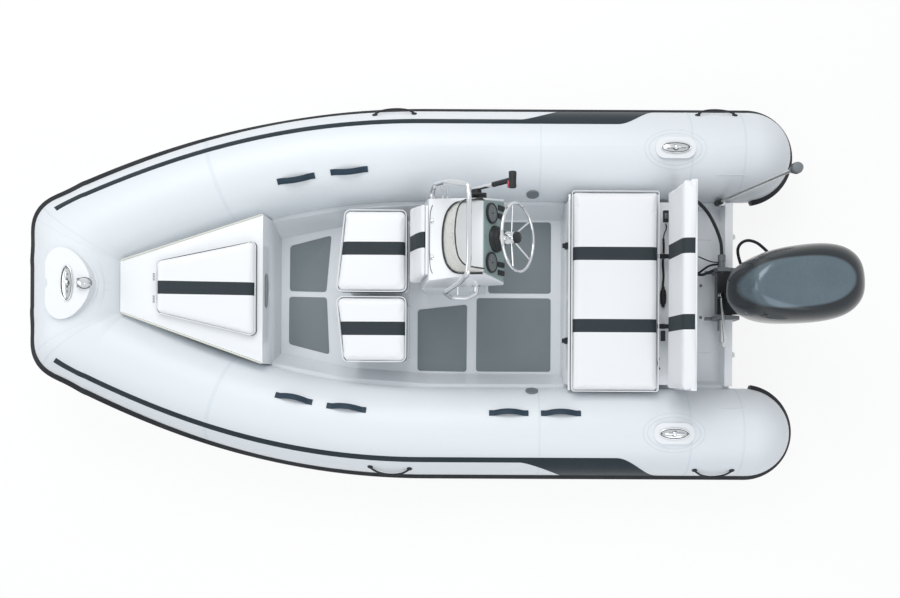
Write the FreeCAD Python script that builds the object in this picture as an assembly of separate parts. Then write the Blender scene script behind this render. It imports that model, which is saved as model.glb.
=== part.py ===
import FreeCAD, Part
import math
import os

from FreeCAD import Matrix, Placement
from FreeCAD import Vector as V

# A rigid-hulled inflatable boat with an outboard engine.
# Millimetres. +X is forward, +Y is port, +Z is up. The origin is on the
# waterline and the centreline, amidships of the tubes.

# Tube collar
tube_r = 242.0
tube_z = 270.0
cockpit_half = 518.0
side_y = cockpit_half + tube_r
dome_x = -1763.0
curve_x = 0.0
side_handle = 650.0
bow_handle = 543.0
bow_angle = 28.0
bow_x = 1780.0
front_half = 108.0
pivot_gap = 20.0
gore_round = 28.0
corner_steps = 8
bow_rise = 278.0
rise_run = 2000.0
curve_steps = 8
side_steps = 5

# Rubbing strake
strake_proud = 20.0
strake_half = 34.0
strake_edge = 16.0
strake_rise = 66.0
strake_level_x = 600.0
dome_wrap = 172.0
skin_gap = 0.3

# Hull
keel_z = -205.0
transom_x = -1648.0
transom_t = 42.0
transom_top = 313.0
chine_in = 160.0
shell = 12.0
rail_depth = 16.0
stem_x = bow_x - 35.0
transom_half = cockpit_half - 13.0

# Cockpit liner
floor_z = 100.0
floor_t = 25.0
liner_t = 8.0
liner_gap = 10.0
liner_slope = 58.0
tub_end_x = bow_x - 380.0
tub_stations = (transom_x, curve_x) + tuple(curve_x + (tub_end_x - curve_x) * share for share in (0.32, 0.6, 0.82, 1.0))
joint_x = tub_stations[3]
well_x = transom_x + 258.0
well_z = 200.0

# Bow locker
locker_aft_x = bow_x - 935.0
locker_fore_x = bow_x - 228.0
locker_aft_y = cockpit_half - 124.0
locker_fore_y = 132.0
locker_aft_z = 500.0
locker_fore_z = 600.0
lid_aft_x = locker_aft_x + 26.0
lid_fore_x = locker_fore_x - 183.0
lid_aft_y = 256.0
lid_fore_y = 137.0
lid_t = 42.0

# Seats
seat_top = 475.0
seat_box_top = 405.0
seat_aft_x = 88.0
seat_fore_x = 468.0
seat_rake = 45.0
seat_inset = 15.0
seat_gap = 2.0
console_seat_y = (-430.0, 10.0)
port_seat_y = (32.0, 384.0)
bench_fore_x = -790.0
bench_aft_x = -1255.0
bench_half = 530.0
bench_top = 485.0
back_front_x = bench_aft_x - 31.0
back_lean = 15.0
back_bottom = 522.0
back_top = 820.0
back_half = 520.0
back_pad = 58.0
back_panel = 28.0

# Console
console_y = -226.0
console_half = 215.0
console_top_half = 184.0
console_front_x = 15.0
console_brow = V(-48.0, 0, 745.0)
dash_top = V(-318.0, 0, 866.0)
dash_foot = V(-423.0, 0, 680.0)
dash_lip = 40.0
console_aft_x = -330.0
console_knee_z = 590.0
dash_plate = 4.0
hatch_half = 172.0
hatch_t = 12.0
gauge_r = 50.0
gauge_y = 121.0
gauge_s = 62.0
bezel_r = 66.0
bezel_s = 120.0
wheel_r = 174.0
wheel_tube = 8.0
wheel_out = 128.0
rail_r = 12.5
screen_top = 1000.0
screen_t = 5.0
screen_fall = 0.62

# Engine
engine_turn = 5.0
tilt_x = transom_x + 36.0
tilt_z = 375.0
tilt_tube_r = 16.0
tilt_tube_half = 175.0
tilt_tube_port = 146.0
steer_x = transom_x - transom_t - 75.0
bracket_y = 118.0
bracket_t = 22.0
swivel_r = 36.0
arm_z = 418.0
arm_len = 190.0
link_y = 265.0
cowl_front = steer_x + 200.0
cowl_rear = cowl_front - 625.0
cowl_half = 192.0
cowl_bottom = 520.0
cowl_top = 935.0
plate_z = -235.0
shaft_z = plate_z - 170.0
skeg_z = shaft_z - 205.0
leg_front = steer_x - 37.0
leg_rear = leg_front - 188.0
leg_half = 62.0
torpedo_r = 52.0
prop_x = leg_rear - 85.0
prop_r = 150.0
hub_r = 45.0


def box(x0, x1, y0, y1, z0, z1):
    return Part.makeBox(x1 - x0, y1 - y0, z1 - z0, V(x0, y0, z0))


def rod(start, end, radius):
    run = end.sub(start)
    return Part.makeCylinder(radius, run.Length, start, run)


def face_of(points):
    return Part.Face(Part.makePolygon(points + [points[0]]))


def slab_y(profile, y0, y1):
    """A side profile of (x, z) points, as wide as y0 to y1."""
    return face_of([V(x, y0, z) for x, z in profile]).extrude(V(0, y1 - y0, 0))


def slab_z(outline, z0, z1):
    """A plan outline of (x, y) points, as high as z0 to z1."""
    return face_of([V(x, y, z0) for x, y in outline]).extrude(V(0, 0, z1 - z0))


def slab_x(section, x0, x1):
    """A cross-section of (y, z) points, as long as x0 to x1."""
    return face_of([V(x0, y, z) for y, z in section]).extrude(V(x1 - x0, 0, 0))


def join(shapes):
    whole = shapes[0].fuse(shapes[1:])
    return whole.removeSplitter()


def mirrored(shape):
    return shape.mirror(V(0, 0, 0), V(0, 1, 0))


def rounded(shape, radius, wanted):
    """Fillets the edges that the test picks out."""
    edges = [edge for edge in shape.Edges if wanted(edge)]
    return shape.makeFillet(radius, edges)


def upright(edge):
    first, last = edge.Vertexes[0].Point, edge.Vertexes[-1].Point
    run = last.sub(first)
    return len(edge.Vertexes) == 2 and abs(run.z) > 0.98 * run.Length


def frame_at(centre, across, up):
    """A placement whose local X and Y are the two directions given."""
    x = V(across)
    x.normalize()
    z = x.cross(up)
    z.normalize()
    y = z.cross(x)
    return Placement(Matrix(x.x, y.x, z.x, centre.x, x.y, y.y, z.y, centre.y,
                            x.z, y.z, z.z, centre.z, 0, 0, 0, 1))


def bent_path(points, radius=None):
    """Straight runs joined by tangent arcs, as one wire."""
    edges = []
    start = points[0]
    for i in range(1, len(points) - 1):
        before = points[i - 1].sub(points[i])
        after = points[i + 1].sub(points[i])
        half = before.getAngle(after) / 2
        reach = 0.45 * min(before.Length, after.Length)
        if radius:
            reach = min(reach, radius / math.tan(half))
        before.normalize()
        after.normalize()
        first = points[i].add(before * reach)
        last = points[i].add(after * reach)
        bend = reach * math.tan(half)
        inward = before.add(after)
        inward.normalize()
        centre = points[i].add(inward * (bend / math.sin(half)))
        middle = centre.sub(inward * bend)
        edges.append(Part.LineSegment(start, first).toShape())
        edges.append(Part.Arc(first, middle, last).toShape())
        start = last
    edges.append(Part.LineSegment(start, points[-1]).toShape())
    return Part.Wire(edges)


def bent_tube(points, tube_radius, bend=None):
    """A round tube along straight runs and tangent arcs."""
    path = bent_path(points, bend)
    end = Part.makeCircle(tube_radius, points[0], points[1].sub(points[0]))
    return path.makePipeShell([Part.Wire(end)], True, True)


# The collar in plan and in height

def rise_at(x):
    return bow_rise * max(0.0, (x - curve_x) / rise_run) ** 2


def knee():
    """Where the curved side meets the bow corner, and the corner's pivot."""
    turn = math.radians(bow_angle)
    pivot = V(bow_x - tube_r - pivot_gap, front_half, 0)
    out = V(math.sin(turn), math.cos(turn), 0)
    return pivot.add(out * (tube_r + pivot_gap)), pivot


def side_point(t):
    """The tube's centre and its forward direction, along the curved port side."""
    turn = math.radians(bow_angle)
    end, _ = knee()
    p = [V(curve_x, side_y, 0), V(curve_x + side_handle, side_y, 0),
         end.sub(V(math.cos(turn), -math.sin(turn), 0) * bow_handle), end]
    s = 1 - t
    at = p[0] * s ** 3 + p[1] * (3 * s * s * t) + p[2] * (3 * s * t * t) + p[3] * t ** 3
    along = (p[1] - p[0]) * (s * s) + (p[2] - p[1]) * (2 * s * t) + (p[3] - p[2]) * (t * t)
    along.normalize()
    at.z = tube_z + rise_at(at.x)
    return at, along


def side_at(x):
    """The port tube's centre, and the cosine of its plan angle, at a station."""
    if x <= curve_x:
        return V(x, side_y, tube_z), 1.0
    low, high = 0.0, 1.0
    for _ in range(40):
        middle = (low + high) / 2
        if side_point(middle)[0].x < x:
            low = middle
        else:
            high = middle
    at, along = side_point(low)
    beyond = x - at.x
    if beyond > 1.0:
        at = at.add(along * (beyond / along.x))
    return at, along.x


def inner_edge(x):
    """Half the gap between the tubes, at the height of their centres."""
    at, cosine = side_at(x)
    return at.y - tube_r / cosine


def collar_stations():
    """Stations as centre, outward direction and outward reach: side, curve, corner, bow."""
    out = V(0, 1, 0)
    side = [(V(dome_x, side_y, tube_z), out, tube_r), (V(curve_x, side_y, tube_z), out, tube_r)]
    curve = []
    for i in range(curve_steps + 1):
        at, along = side_point(i / curve_steps)
        curve.append((at, V(-along.y, along.x, 0), tube_r))
    end, pivot = knee()
    radius = tube_r + pivot_gap
    corner = []
    for i in range(corner_steps + 1):
        share = i / corner_steps
        angle = math.radians(bow_angle + (90 - bow_angle) * share)
        nearest = math.radians(90 - bow_angle) * min(share, 1 - share)
        reach = (radius + tube_r) / math.cos(nearest) - radius
        if 2 * i == corner_steps:
            reach -= gore_round
        across = V(math.sin(angle), math.cos(angle), 0)
        centre = pivot.add(across * radius)
        centre.z = tube_z + rise_at(centre.x)
        corner.append((centre, across, reach))
    front = corner[-1]
    return side, curve, corner, [front, flip(front)]


def ring(station, radius):
    """The tube's section at a station, as a wire that starts outboard."""
    centre, across, reach = station
    half = (reach - tube_r) / 2 + radius
    if half - radius < 1e-6:
        curve = Part.Circle(V(0, 0, 0), V(0, 0, 1), radius)
    else:
        curve = Part.Ellipse(V(half, 0, 0), V(0, radius, 0), V(0, 0, 0))
    wire = Part.Wire(curve.toShape())
    wire.Placement = frame_at(centre.add(across * (half - radius)), across, V(0, 0, 1))
    return wire


def flip(station):
    centre, across, reach = station
    return V(centre.x, -centre.y, centre.z), V(across.x, -across.y, across.z), reach


def skin(stations, section):
    """A smooth skin through the sections at the stations."""
    return Part.makeLoft([section(station) for station in stations], True, len(stations) == 2)


def side_pieces(radius):
    """The port tube's domed stern end, its straight run and its curve up to the bow seam."""
    side, curve, _, _ = collar_stations()
    dome = Part.makeSphere(radius, side[0][0])
    dome = dome.common(box(dome_x - 2 * radius, dome_x, side_y - 2 * radius, side_y + 2 * radius,
                           tube_z - 2 * radius, tube_z + 2 * radius))
    bent = skin(curve[:side_steps + 1], lambda station: ring(station, radius))
    return [dome, rod(side[0][0], side[1][0], radius), bent]


def bow_pieces(radius):
    """The bow chamber: two curved shoulders, two corner gores and the front."""
    _, curve, corner, bow = collar_stations()
    shoulder = skin(curve[side_steps:], lambda station: ring(station, radius))
    gore = skin(corner, lambda station: ring(station, radius))
    front = rod(bow[0][0], bow[1][0], radius)
    return [front, gore, mirrored(gore), shoulder, mirrored(shoulder)]


def clear_of(shape, tools):
    """The shape without what the tools take up."""
    for tool in tools:
        if shape.BoundBox.intersect(tool.BoundBox):
            shape = shape.cut(tool)
    return shape


def strake_height(x):
    """How far the strake lies over the tube's middle: none along the sides, more round the bow."""
    share = min(1.0, max(0.0, (x - strake_level_x) / (bow_x - strake_level_x)))
    return strake_rise * share ** 2 * (3 - 2 * share)


def strake_ring(station):
    """The strake's section: a ribbon that lies on the tube, with a narrower outer face."""
    centre, across, reach = station
    half = (reach + tube_r) / 2
    height = strake_height(centre.x)

    def on_skin(level):
        return V(reach - half + half * math.sqrt(1 - (level / tube_r) ** 2) + skin_gap, level, 0)

    up = math.asin(height / tube_r)
    face = on_skin(height).add(V(math.cos(up), math.sin(up), 0) * strake_proud)
    edge = V(-math.sin(up), math.cos(up), 0) * strake_edge
    corners = [on_skin(height - strake_half), face.sub(edge), face.add(edge), on_skin(height + strake_half)]
    edges = [Part.makeLine(corners[i], corners[i + 1]) for i in range(3)]
    edges.append(Part.Arc(corners[3], on_skin(height), corners[0]).toShape())
    wire = Part.Wire(edges)
    wire.Placement = frame_at(centre, across, V(0, 0, 1))
    return wire


def make_strake():
    side, curve, corner, bow = collar_stations()
    stern = Part.Face(strake_ring(side[0])).revolve(V(dome_x, side_y, 0), V(0, 0, 1), dome_wrap)
    pieces = [skin(bow, strake_ring)]
    for piece in (skin(side, strake_ring), stern, skin(curve, strake_ring), skin(corner, strake_ring)):
        pieces += [piece, mirrored(piece)]
    return join(pieces)


# Hull and liner

def hull_section(x, keel, chine_y, chine_z, top_y, top_z):
    points = [V(x, 0, keel), V(x, chine_y, chine_z), V(x, top_y, top_z),
              V(x, -top_y, top_z), V(x, -chine_y, chine_z)]
    return Part.makePolygon(points + [points[0]])


def keel_at(x):
    """The keel's height: level aft, then a rising forefoot."""
    forefoot = max(0.0, (x - stem_x) / 1400.0 + 0.961)
    return keel_z + 430.0 * forefoot ** 2.2


def chine_at(x):
    """Chine half width and height at a station."""
    at, cosine = side_at(min(x, bow_x - 20.0))
    rise = max(0.0, (x - bow_x) / 1560.0 + 1.013)
    return at.y - chine_in / cosine, 0.0 + 245.0 * rise ** 1.6


def hull_wire(x):
    chine_y, chine_z = chine_at(x)
    return hull_section(x, keel_at(x), chine_y, chine_z, chine_y + 4.0, tub_top(x))


def hull_form():
    """The whole solid between keel and deck edge."""
    aft = Part.makeLoft([hull_wire(transom_x - transom_t), hull_wire(curve_x)], True, True)
    fore = Part.makeLoft([hull_wire(curve_x + (stem_x - curve_x) * i / 5) for i in range(6)], True, False)
    return join([aft, fore])


def over_joint(drop):
    """The space over the hull's joint with the deck: level under the cockpit, rising to the bow."""
    low = floor_z - floor_t - drop
    fore_z = chine_at(tub_end_x)[1] + 20.0 - drop
    top = tub_top(tub_end_x) + 100.0
    profile = [(transom_x, low), (joint_x, low), (tub_end_x, fore_z), (tub_end_x, top), (transom_x, top)]
    return slab_y(profile, -side_y, side_y)


def make_hull(outer_tubes):
    body = clear_of(hull_form().cut(over_joint(0.5)), outer_tubes).cut(tub(0.5, 0.0))
    plate = box(transom_x - transom_t, transom_x, -transom_half, transom_half, 100.0, transom_top)
    plate = clear_of(plate, outer_tubes)
    rails = []
    for share in (0.42, 0.72):
        rails.append(lifting_strake(share))
        rails.append(mirrored(rails[-1]))
    return join([body, plate] + rails)


def lifting_strake(share):
    """A long wedge on the bottom, part of the way from keel to chine."""
    wires = []
    for x in (transom_x + 60.0, curve_x, 0.4 * stem_x, 0.66 * stem_x):
        chine_y, chine_z = chine_at(x)
        keel = keel_at(x)
        y = chine_y * share
        z = keel + (chine_z - keel) * share
        slope = (chine_z - keel) / chine_y
        depth = rail_depth if x < 0.6 * stem_x else 3.0
        points = [V(x, y - 26.0, z - 26.0 * slope + 2.0), V(x, y + 4.0, z - depth + 2.0),
                  V(x, y + 8.0, z + 12.0)]
        wires.append(Part.makePolygon(points + [points[0]]))
    return Part.makeLoft(wires, True, False)


def tub_top(x):
    """The height of the hull's and the liner's top edges."""
    return tube_z - 20.0 + rise_at(x)


def tub_line(inset, aft_x):
    """The tub's stations, each as X and the half width of its foot."""
    stations = (aft_x,) + tub_stations[1:-1] + (tub_end_x - inset,)
    return [(x, min(inner_edge(x), cockpit_half) - liner_gap - inset - liner_slope) for x in stations]


def tub(grow, inset):
    """The liner's outer or inner form: grow moves the walls out, inset moves them in."""
    wires = []
    for x, half in tub_line(inset, transom_x):
        foot = half + grow
        edge = foot + liner_slope
        low = floor_z - floor_t - grow if not inset else floor_z
        high = tub_top(x) + grow
        points = [V(x, -foot, low), V(x, foot, low), V(x, edge, high), V(x, -edge, high)]
        wires.append(Part.makePolygon(points + [points[0]]))
    return Part.makeLoft(wires, True, True)


def floor_slab(inset):
    """The floor inside the liner's foot, from the engine well forward."""
    line = [(x, half - inset) for x, half in tub_line(liner_t, well_x + inset)]
    line[-1] = (line[-1][0] - inset, line[-1][1])
    return slab_z(line + [(x, -half) for x, half in line[::-1]], floor_z - floor_t, floor_z)


def make_liner(outer_tubes):
    """The deck's side walls out to the tubes, with the raised engine well aft."""
    space = tub(0.0, liner_t).cut(box(transom_x - 1, well_x, -side_y, side_y, 0, well_z))
    walls = hull_form().common(over_joint(0.0)).cut(space).cut(floor_slab(0.0))
    return clear_of(walls, outer_tubes)


# Bow locker

def locker_deck(x):
    share = (x - locker_aft_x) / (locker_fore_x - locker_aft_x)
    return locker_aft_z + (locker_fore_z - locker_aft_z) * share


def under_deck(shape, below):
    """The part of a shape that lies so far below the locker's sloping deck."""
    x0, x1 = locker_aft_x - 50.0, locker_fore_x + 50.0
    above = slab_y([(x0, locker_deck(x0) - below), (x1, locker_deck(x1) - below), (x1, 1200.0), (x0, 1200.0)],
                   -900.0, 900.0)
    return shape.cut(above)


def lid_outline(inset):
    return [(lid_aft_x + inset, -lid_aft_y + inset), (lid_aft_x + inset, lid_aft_y - inset),
            (lid_fore_x - inset, lid_fore_y - inset), (lid_fore_x - inset, -lid_fore_y + inset)]


def make_bow_locker(outer_tubes):
    """The locker moulding between the tubes and on the cockpit floor, hollow under its lid."""
    x0, x1 = locker_aft_x, locker_fore_x
    y0, y1 = locker_aft_y, locker_fore_y
    form = slab_z([(x0, -y0), (x0, y0), (x1, y1), (x1, -y1)], floor_z + skin_gap, 900.0)
    form = clear_of(under_deck(form, 0.0), outer_tubes)
    below = tub(0.0, liner_t + skin_gap).common(box(curve_x, tub_end_x, -side_y, side_y, 0, 900))
    line = [(x, tub_top(x)) for x in tub_stations[2:] + (locker_fore_x + 50.0,)]
    above = slab_y([(line[0][0], 900.0)] + line + [(line[-1][0], 900.0)], -900, 900)
    form = join([form.common(below), form.common(above)])
    side = liner_gap + liner_slope + 2 * shell
    x0, x1 = locker_aft_x + shell, lid_fore_x + shell
    y0, y1 = inner_edge(x0) - side, inner_edge(x1) - side
    hollow = slab_z([(x0, -y0), (x0, y0), (x1, y1), (x1, -y1)], floor_z + shell, 900.0)
    mouth = slab_z(lid_outline(25.0), 300.0, 900.0)
    return form.cut(under_deck(hollow, shell)).cut(mouth)


def make_bow_lid():
    slab = slab_z(lid_outline(0.0), 300.0, 900.0)
    slab = rounded(slab, 28.0, upright)
    x0, x1 = lid_aft_x - 50, lid_fore_x + 50
    low = [(x0, locker_deck(x0) + seat_gap), (x1, locker_deck(x1) + seat_gap)]
    band = slab_y(low + [(x1, locker_deck(x1) + seat_gap + lid_t), (x0, locker_deck(x0) + seat_gap + lid_t)],
                  -600, 600)
    return slab.common(band)


# Seats

def seat_outline(y_range, inset):
    inner, outer = sorted(y_range, key=abs)
    side = 1 if outer > 0 else -1
    reach = seat_rake * (abs(outer) - abs(inner)) / 400.0
    return [(seat_aft_x + inset, inner + side * inset), (seat_fore_x - inset, inner + side * inset),
            (seat_fore_x - reach - inset, outer - side * inset), (seat_aft_x + inset, outer - side * inset)]


def seat_box(y_range):
    block = slab_z(seat_outline(y_range, seat_inset), floor_z, seat_box_top)
    block = rounded(block, 30.0, upright)
    hollow = slab_z(seat_outline(y_range, seat_inset + shell), floor_z + shell, seat_box_top + 1)
    lip = 22.0
    mouth = slab_z(seat_outline(y_range, seat_inset + lip), floor_z + shell, seat_box_top + 1)
    under = hollow.common(box(-2000, 2000, -900, 900, floor_z, seat_box_top - shell))
    return block.cut(under).cut(mouth)


def seat_lid(y_range):
    slab = slab_z(seat_outline(y_range, 0.0), seat_box_top + seat_gap, seat_top)
    return rounded(slab, 34.0, upright)


def make_bench_box():
    floor_half = inner_edge(-900.0) - liner_gap - liner_t - liner_slope - 1.0
    top_half = floor_half + liner_slope
    front_x = bench_fore_x + 28.0
    hinge_x = bench_aft_x - 8.0
    back_x = back_front_x - back_pad - back_panel
    section = [(-floor_half, floor_z), (floor_half, floor_z), (top_half, tub_top(0)), (top_half, seat_box_top),
               (-top_half, seat_box_top), (-top_half, tub_top(0))]
    side = slab_y([(front_x, floor_z), (front_x - 15.0, seat_box_top), (hinge_x, seat_box_top),
                   (hinge_x, 345.0), (back_x + back_panel, 345.0), (back_x + back_panel, back_top - 12.0),
                   (back_x, back_top - 12.0), (back_x, floor_z)], -600, 600)
    core = slab_x(section, back_x, front_x).common(side)
    flange = box(hinge_x, front_x - 15.0, -bench_half + 2, bench_half - 2, seat_box_top - 20.0, seat_box_top)
    panel = box(back_x, back_x + back_panel, -back_half, back_half, seat_box_top, back_top - 12.0)
    whole = join([core, flange, panel])
    inner_x = (hinge_x + shell + 12.0, front_x - 15.0 - shell - 15.0)
    inner = slab_x([(-floor_half + shell, floor_z + shell), (floor_half - shell, floor_z + shell),
                    (top_half - shell, tube_z), (top_half - shell, 600.0),
                    (-top_half + shell, 600.0), (-top_half + shell, tube_z)], inner_x[0], inner_x[1])
    return whole.cut(inner)


def make_bench_lid():
    slab = box(bench_aft_x, bench_fore_x, -bench_half, bench_half, seat_box_top + seat_gap, bench_top)
    return rounded(slab, 30.0, upright)


def make_bench_backrest():
    back = back_front_x - back_pad + skin_gap
    low = back_front_x
    pad = slab_y([(back, back_bottom), (low, back_bottom), (low - back_lean, back_top), (back, back_top)],
                 -back_half, back_half)
    return pad


# Console

def console_profile(inset):
    outline = [(console_front_x, floor_z), (console_front_x, 430.0), (console_brow.x, console_brow.z),
               (dash_top.x, dash_top.z), (dash_foot.x, dash_foot.z), (dash_foot.x, dash_foot.z - dash_lip),
               (console_aft_x, console_knee_z), (console_aft_x, floor_z)]
    face = face_of([V(x, 0, z) for x, z in outline])
    if inset:
        face = face.makeOffset2D(-inset)
    return face


def console_form(inset):
    half = console_half - inset
    top_half = console_top_half - inset
    face = console_profile(inset)
    face.translate(V(0, console_y - half, 0))
    body = face.extrude(V(0, 2 * half, 0))
    width = slab_x([(console_y - half, 0), (console_y + half, 0), (console_y + half, dash_foot.z),
                    (console_y + top_half, dash_top.z), (console_y + top_half, 1000),
                    (console_y - top_half, 1000), (console_y - top_half, dash_top.z),
                    (console_y - half, dash_foot.z)], -1000, 500)
    return body.common(width)


def front_slope():
    """The front face's direction up and its outward normal."""
    up = console_brow.sub(V(console_front_x, 0, 430.0))
    up.normalize()
    return up, V(up.z, 0, -up.x)


def on_front(distance, out, y=0.0):
    """A point on the console's front, so far below the brow and so far out."""
    up, normal = front_slope()
    return console_brow.sub(up * distance).add(normal * out).add(V(0, console_y + y, 0))


def front_block(top, bottom, near, far, half):
    points = [on_front(top, near), on_front(bottom, near), on_front(bottom, far), on_front(top, far)]
    face = face_of([V(p.x, console_y - half, p.z) for p in points])
    return face.extrude(V(0, 2 * half, 0))


def make_console():
    body = console_form(0.0).cut(console_form(shell))
    mouth = front_block(40.0, 225.0, -60.0, 60.0, hatch_half - 25.0)
    return body.cut(mouth)


def make_hatch():
    return front_block(14.0, 245.0, seat_gap, seat_gap + hatch_t, hatch_half)


def make_console_backrest():
    near = seat_gap + hatch_t + skin_gap
    points = [on_front(12.0, near), on_front(228.0, near), on_front(222.0, near + 62.0),
              on_front(85.0, near + 38.0), on_front(12.0, near + 16.0)]
    half = hatch_half + 8.0
    face = face_of([V(p.x, console_y - half, p.z) for p in points])
    return face.extrude(V(0, 2 * half, 0))


def on_dash(distance, out, y=0.0):
    """A point on the dash, so far down from its top edge and so far out."""
    down = dash_foot.sub(dash_top)
    down.normalize()
    normal = V(down.z, 0, -down.x)
    return dash_top.add(down * distance).add(normal * out).add(V(0, console_y + y, 0))


def dash_normal():
    return on_dash(0, 1).sub(on_dash(0, 0))


def make_dash():
    """Dash plate with two gauges, four pairs of rockers and the helm's bezel."""
    depth = dash_foot.sub(dash_top).Length
    corners = [on_dash(6, 0.3, -console_top_half + 8), on_dash(6, 0.3, console_top_half - 8),
               on_dash(depth - 6, 0.3, console_half - 12), on_dash(depth - 6, 0.3, -console_half + 12)]
    pieces = [face_of(corners).extrude(dash_normal() * dash_plate)]
    for y in (-gauge_y, gauge_y):
        pieces.append(rod(on_dash(gauge_s, 1, y), on_dash(gauge_s, 14, y), gauge_r))
        for row in (0, 1):
            for column in (0, 1):
                at = on_dash(142 + 34 * row, 2, y + math.copysign(28, y) * (2 * column - 1) * 0.9)
                pieces.append(Part.makeCylinder(10, 12, at, dash_normal()))
    pieces.append(Part.makeCone(bezel_r, bezel_r - 26, 40, on_dash(bezel_s, 2), dash_normal()))
    return join(pieces)


def make_wheel():
    """A dished three-spoke steering wheel."""
    axis = dash_normal()
    centre = on_dash(bezel_s, wheel_out)
    rim = Part.makeTorus(wheel_r - wheel_tube, wheel_tube, centre, axis)
    hub = rod(on_dash(bezel_s, 42.4), on_dash(bezel_s, wheel_out - 18), 26)
    cap = rod(on_dash(bezel_s, wheel_out - 18), on_dash(bezel_s, wheel_out + 4), 30)
    pieces = [rim, hub, cap]
    place = frame_at(centre, V(0, 1, 0), axis.cross(V(0, 1, 0)))
    for turn in (-35.0, 85.0, 205.0):
        angle = math.radians(turn)
        out = V(math.cos(angle), math.sin(angle), 0)
        far = place.multVec(out * (wheel_r - wheel_tube))
        near = centre.sub(axis * 30).add(place.multVec(out * 20).sub(centre))
        pieces.append(rod(near, far, 6))
    return join(pieces)


def inside(points, distance):
    """Points of a plan line moved over to its inner side."""
    moved = []
    for i, point in enumerate(points):
        run = points[min(i + 1, len(points) - 1)].sub(points[max(i - 1, 0)])
        normal = V(-run.y, run.x, 0)
        normal.normalize()
        moved.append(point.add(normal * distance))
    return moved


def screen_line(front, side, corner, aft, half):
    """Half of the screen's plan line, from its aft end to its centre."""
    return [V(aft, half + 4, 0), V(side, half, 0), V(side + (corner - side) * 0.55, half * 0.9, 0),
            V(corner, half * 0.72, 0), V(front - 4, half * 0.38, 0), V(front, 0, 0)]


def make_windscreen():
    """A low wrap-round screen on the console's brow, leaning aft."""
    slope = (dash_top.z - console_brow.z) / (console_brow.x - dash_top.x)
    wires = []
    for low, line in ((True, screen_line(-118.0, -196.0, -138.0, -318.0, console_top_half - 8)),
                      (False, screen_line(-188.0, -246.0, -202.0, -326.0, console_top_half - 24))):
        whole = line + [V(point.x, -point.y, 0) for point in line[-2::-1]]
        ring_points = []
        for point in whole + inside(whole, -screen_t)[::-1]:
            z = console_brow.z + slope * (console_brow.x - point.x) + skin_gap
            if not low:
                z = screen_top + screen_fall * (point.x + 188.0)
            ring_points.append(V(point.x, console_y + point.y, z))
        wires.append(Part.makePolygon(ring_points + [ring_points[0]]))
    return Part.makeLoft(wires, True, True)


def side_half(z):
    """The console's half width at a height."""
    share = max(0.0, (z - dash_foot.z) / (dash_top.z - dash_foot.z))
    return console_half + (console_top_half - console_half) * share


def make_rail():
    """Stainless grab rail: a hoop over the screen that ends in a loop on each side."""
    top = 1050.0
    side = console_half + 0.3
    points = [V(-62, -side, 690), V(-62, -side - 32, 700), V(-84, -side - 32, 850), V(-150, -side - 24, 962),
              V(-250, -side + 6, top - 6), V(-256, -side + 70, top), V(-256, side - 70, top), V(-250, side - 12, top - 12),
              V(-205, side + 18, 900), V(-128, side + 46, 745), V(-158, side + 66, 672), V(-236, side + 66, 640),
              V(-284, side + 40, 630), V(-284, side, 630)]
    pieces = [bent_tube([point.add(V(0, console_y, 0)) for point in points], rail_r, 45.0)]
    for x, z in ((-118.0, 905.0), (-142.0, 945.0)):
        foot = V(x, console_y - side_half(735.0) - 0.3, 740.0)
        pieces.append(rod(foot, foot.add(V(0, -20, 0)), 5))
        pieces.append(rod(foot.add(V(0, -16, 0)), V(x, console_y - side - 27, z), 5))
    pieces.append(rod(V(-192, console_y + side + 66, 655), V(-192, console_y + side, 655), 5))
    return join(pieces)


def make_throttle():
    """Side-mounted control box with its lever and cross grip."""
    y = console_y - console_half
    case = box(-345, -225, y - 52, y - 0.3, 690, 820)
    case = rounded(case, 14, lambda edge: abs(edge.tangentAt(edge.FirstParameter).y) > 0.9)
    boss = rod(V(-285, y - 52, 770), V(-285, y - 66, 770), 30)
    arm = bent_tube([V(-285, y - 60, 770), V(-330, y - 62, 880), V(-400, y - 50, 980)], 9, 60)
    grip = rod(V(-403, y - 88, 985), V(-403, y - 8, 985), 14)
    return join([case, boss, arm, grip])


# Fittings on the tubes

def on_tube(x, angle, out, side):
    """A point over the tube's skin: angle is up from outboard, side is 1 to port."""
    at, cosine = side_at(x)
    sine = math.sqrt(max(0.0, 1 - cosine ** 2))
    slope = 2 * bow_rise * max(0.0, x - curve_x) / rise_run ** 2
    along = V(cosine, -sine, slope * cosine)
    along.normalize()
    across = V(sine, cosine, 0)
    level, high = math.cos(math.radians(angle)), math.sin(math.radians(angle))
    reach = tube_r * (1 - (slope * high) ** 2 / 2) + out
    point = V(x, at.y, tube_z + rise_at(x)).add((across * level + along.cross(across) * high) * reach)
    return V(point.x, side * point.y, point.z)


def strap_handle(x0, x1, angle, side, width, lift):
    """A rubber strap handle, arched between two pads on the tube."""
    middle = (x0 + x1) / 2
    pieces = []
    for x in (x0, x1):
        inner = on_tube(x, angle, skin_gap, side)
        outer = on_tube(x, angle, 8.0, side)
        pieces.append(rod(inner, outer, width * 0.75))
    low = width * 0.3 + 2.0
    points = [on_tube(x0, angle, low, side), on_tube(x0 + (middle - x0) * 0.45, angle, lift, side),
              on_tube(x1 - (x1 - middle) * 0.45, angle, lift, side), on_tube(x1, angle, low, side)]
    pieces.append(bent_tube(points, width * 0.3))
    return join(pieces)


def make_inner_handles():
    spans = [(590.0, 790.0, 118.0, -1), (303.0, 505.0, 117.0, -1), (598.0, 795.0, 118.0, 1),
             (306.0, 520.0, 117.0, 1), (-562.0, -353.0, 117.0, 1), (-840.0, -628.0, 117.0, 1)]
    return Part.makeCompound([strap_handle(*span, width=30.0, lift=42.0) for span in spans])


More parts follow.
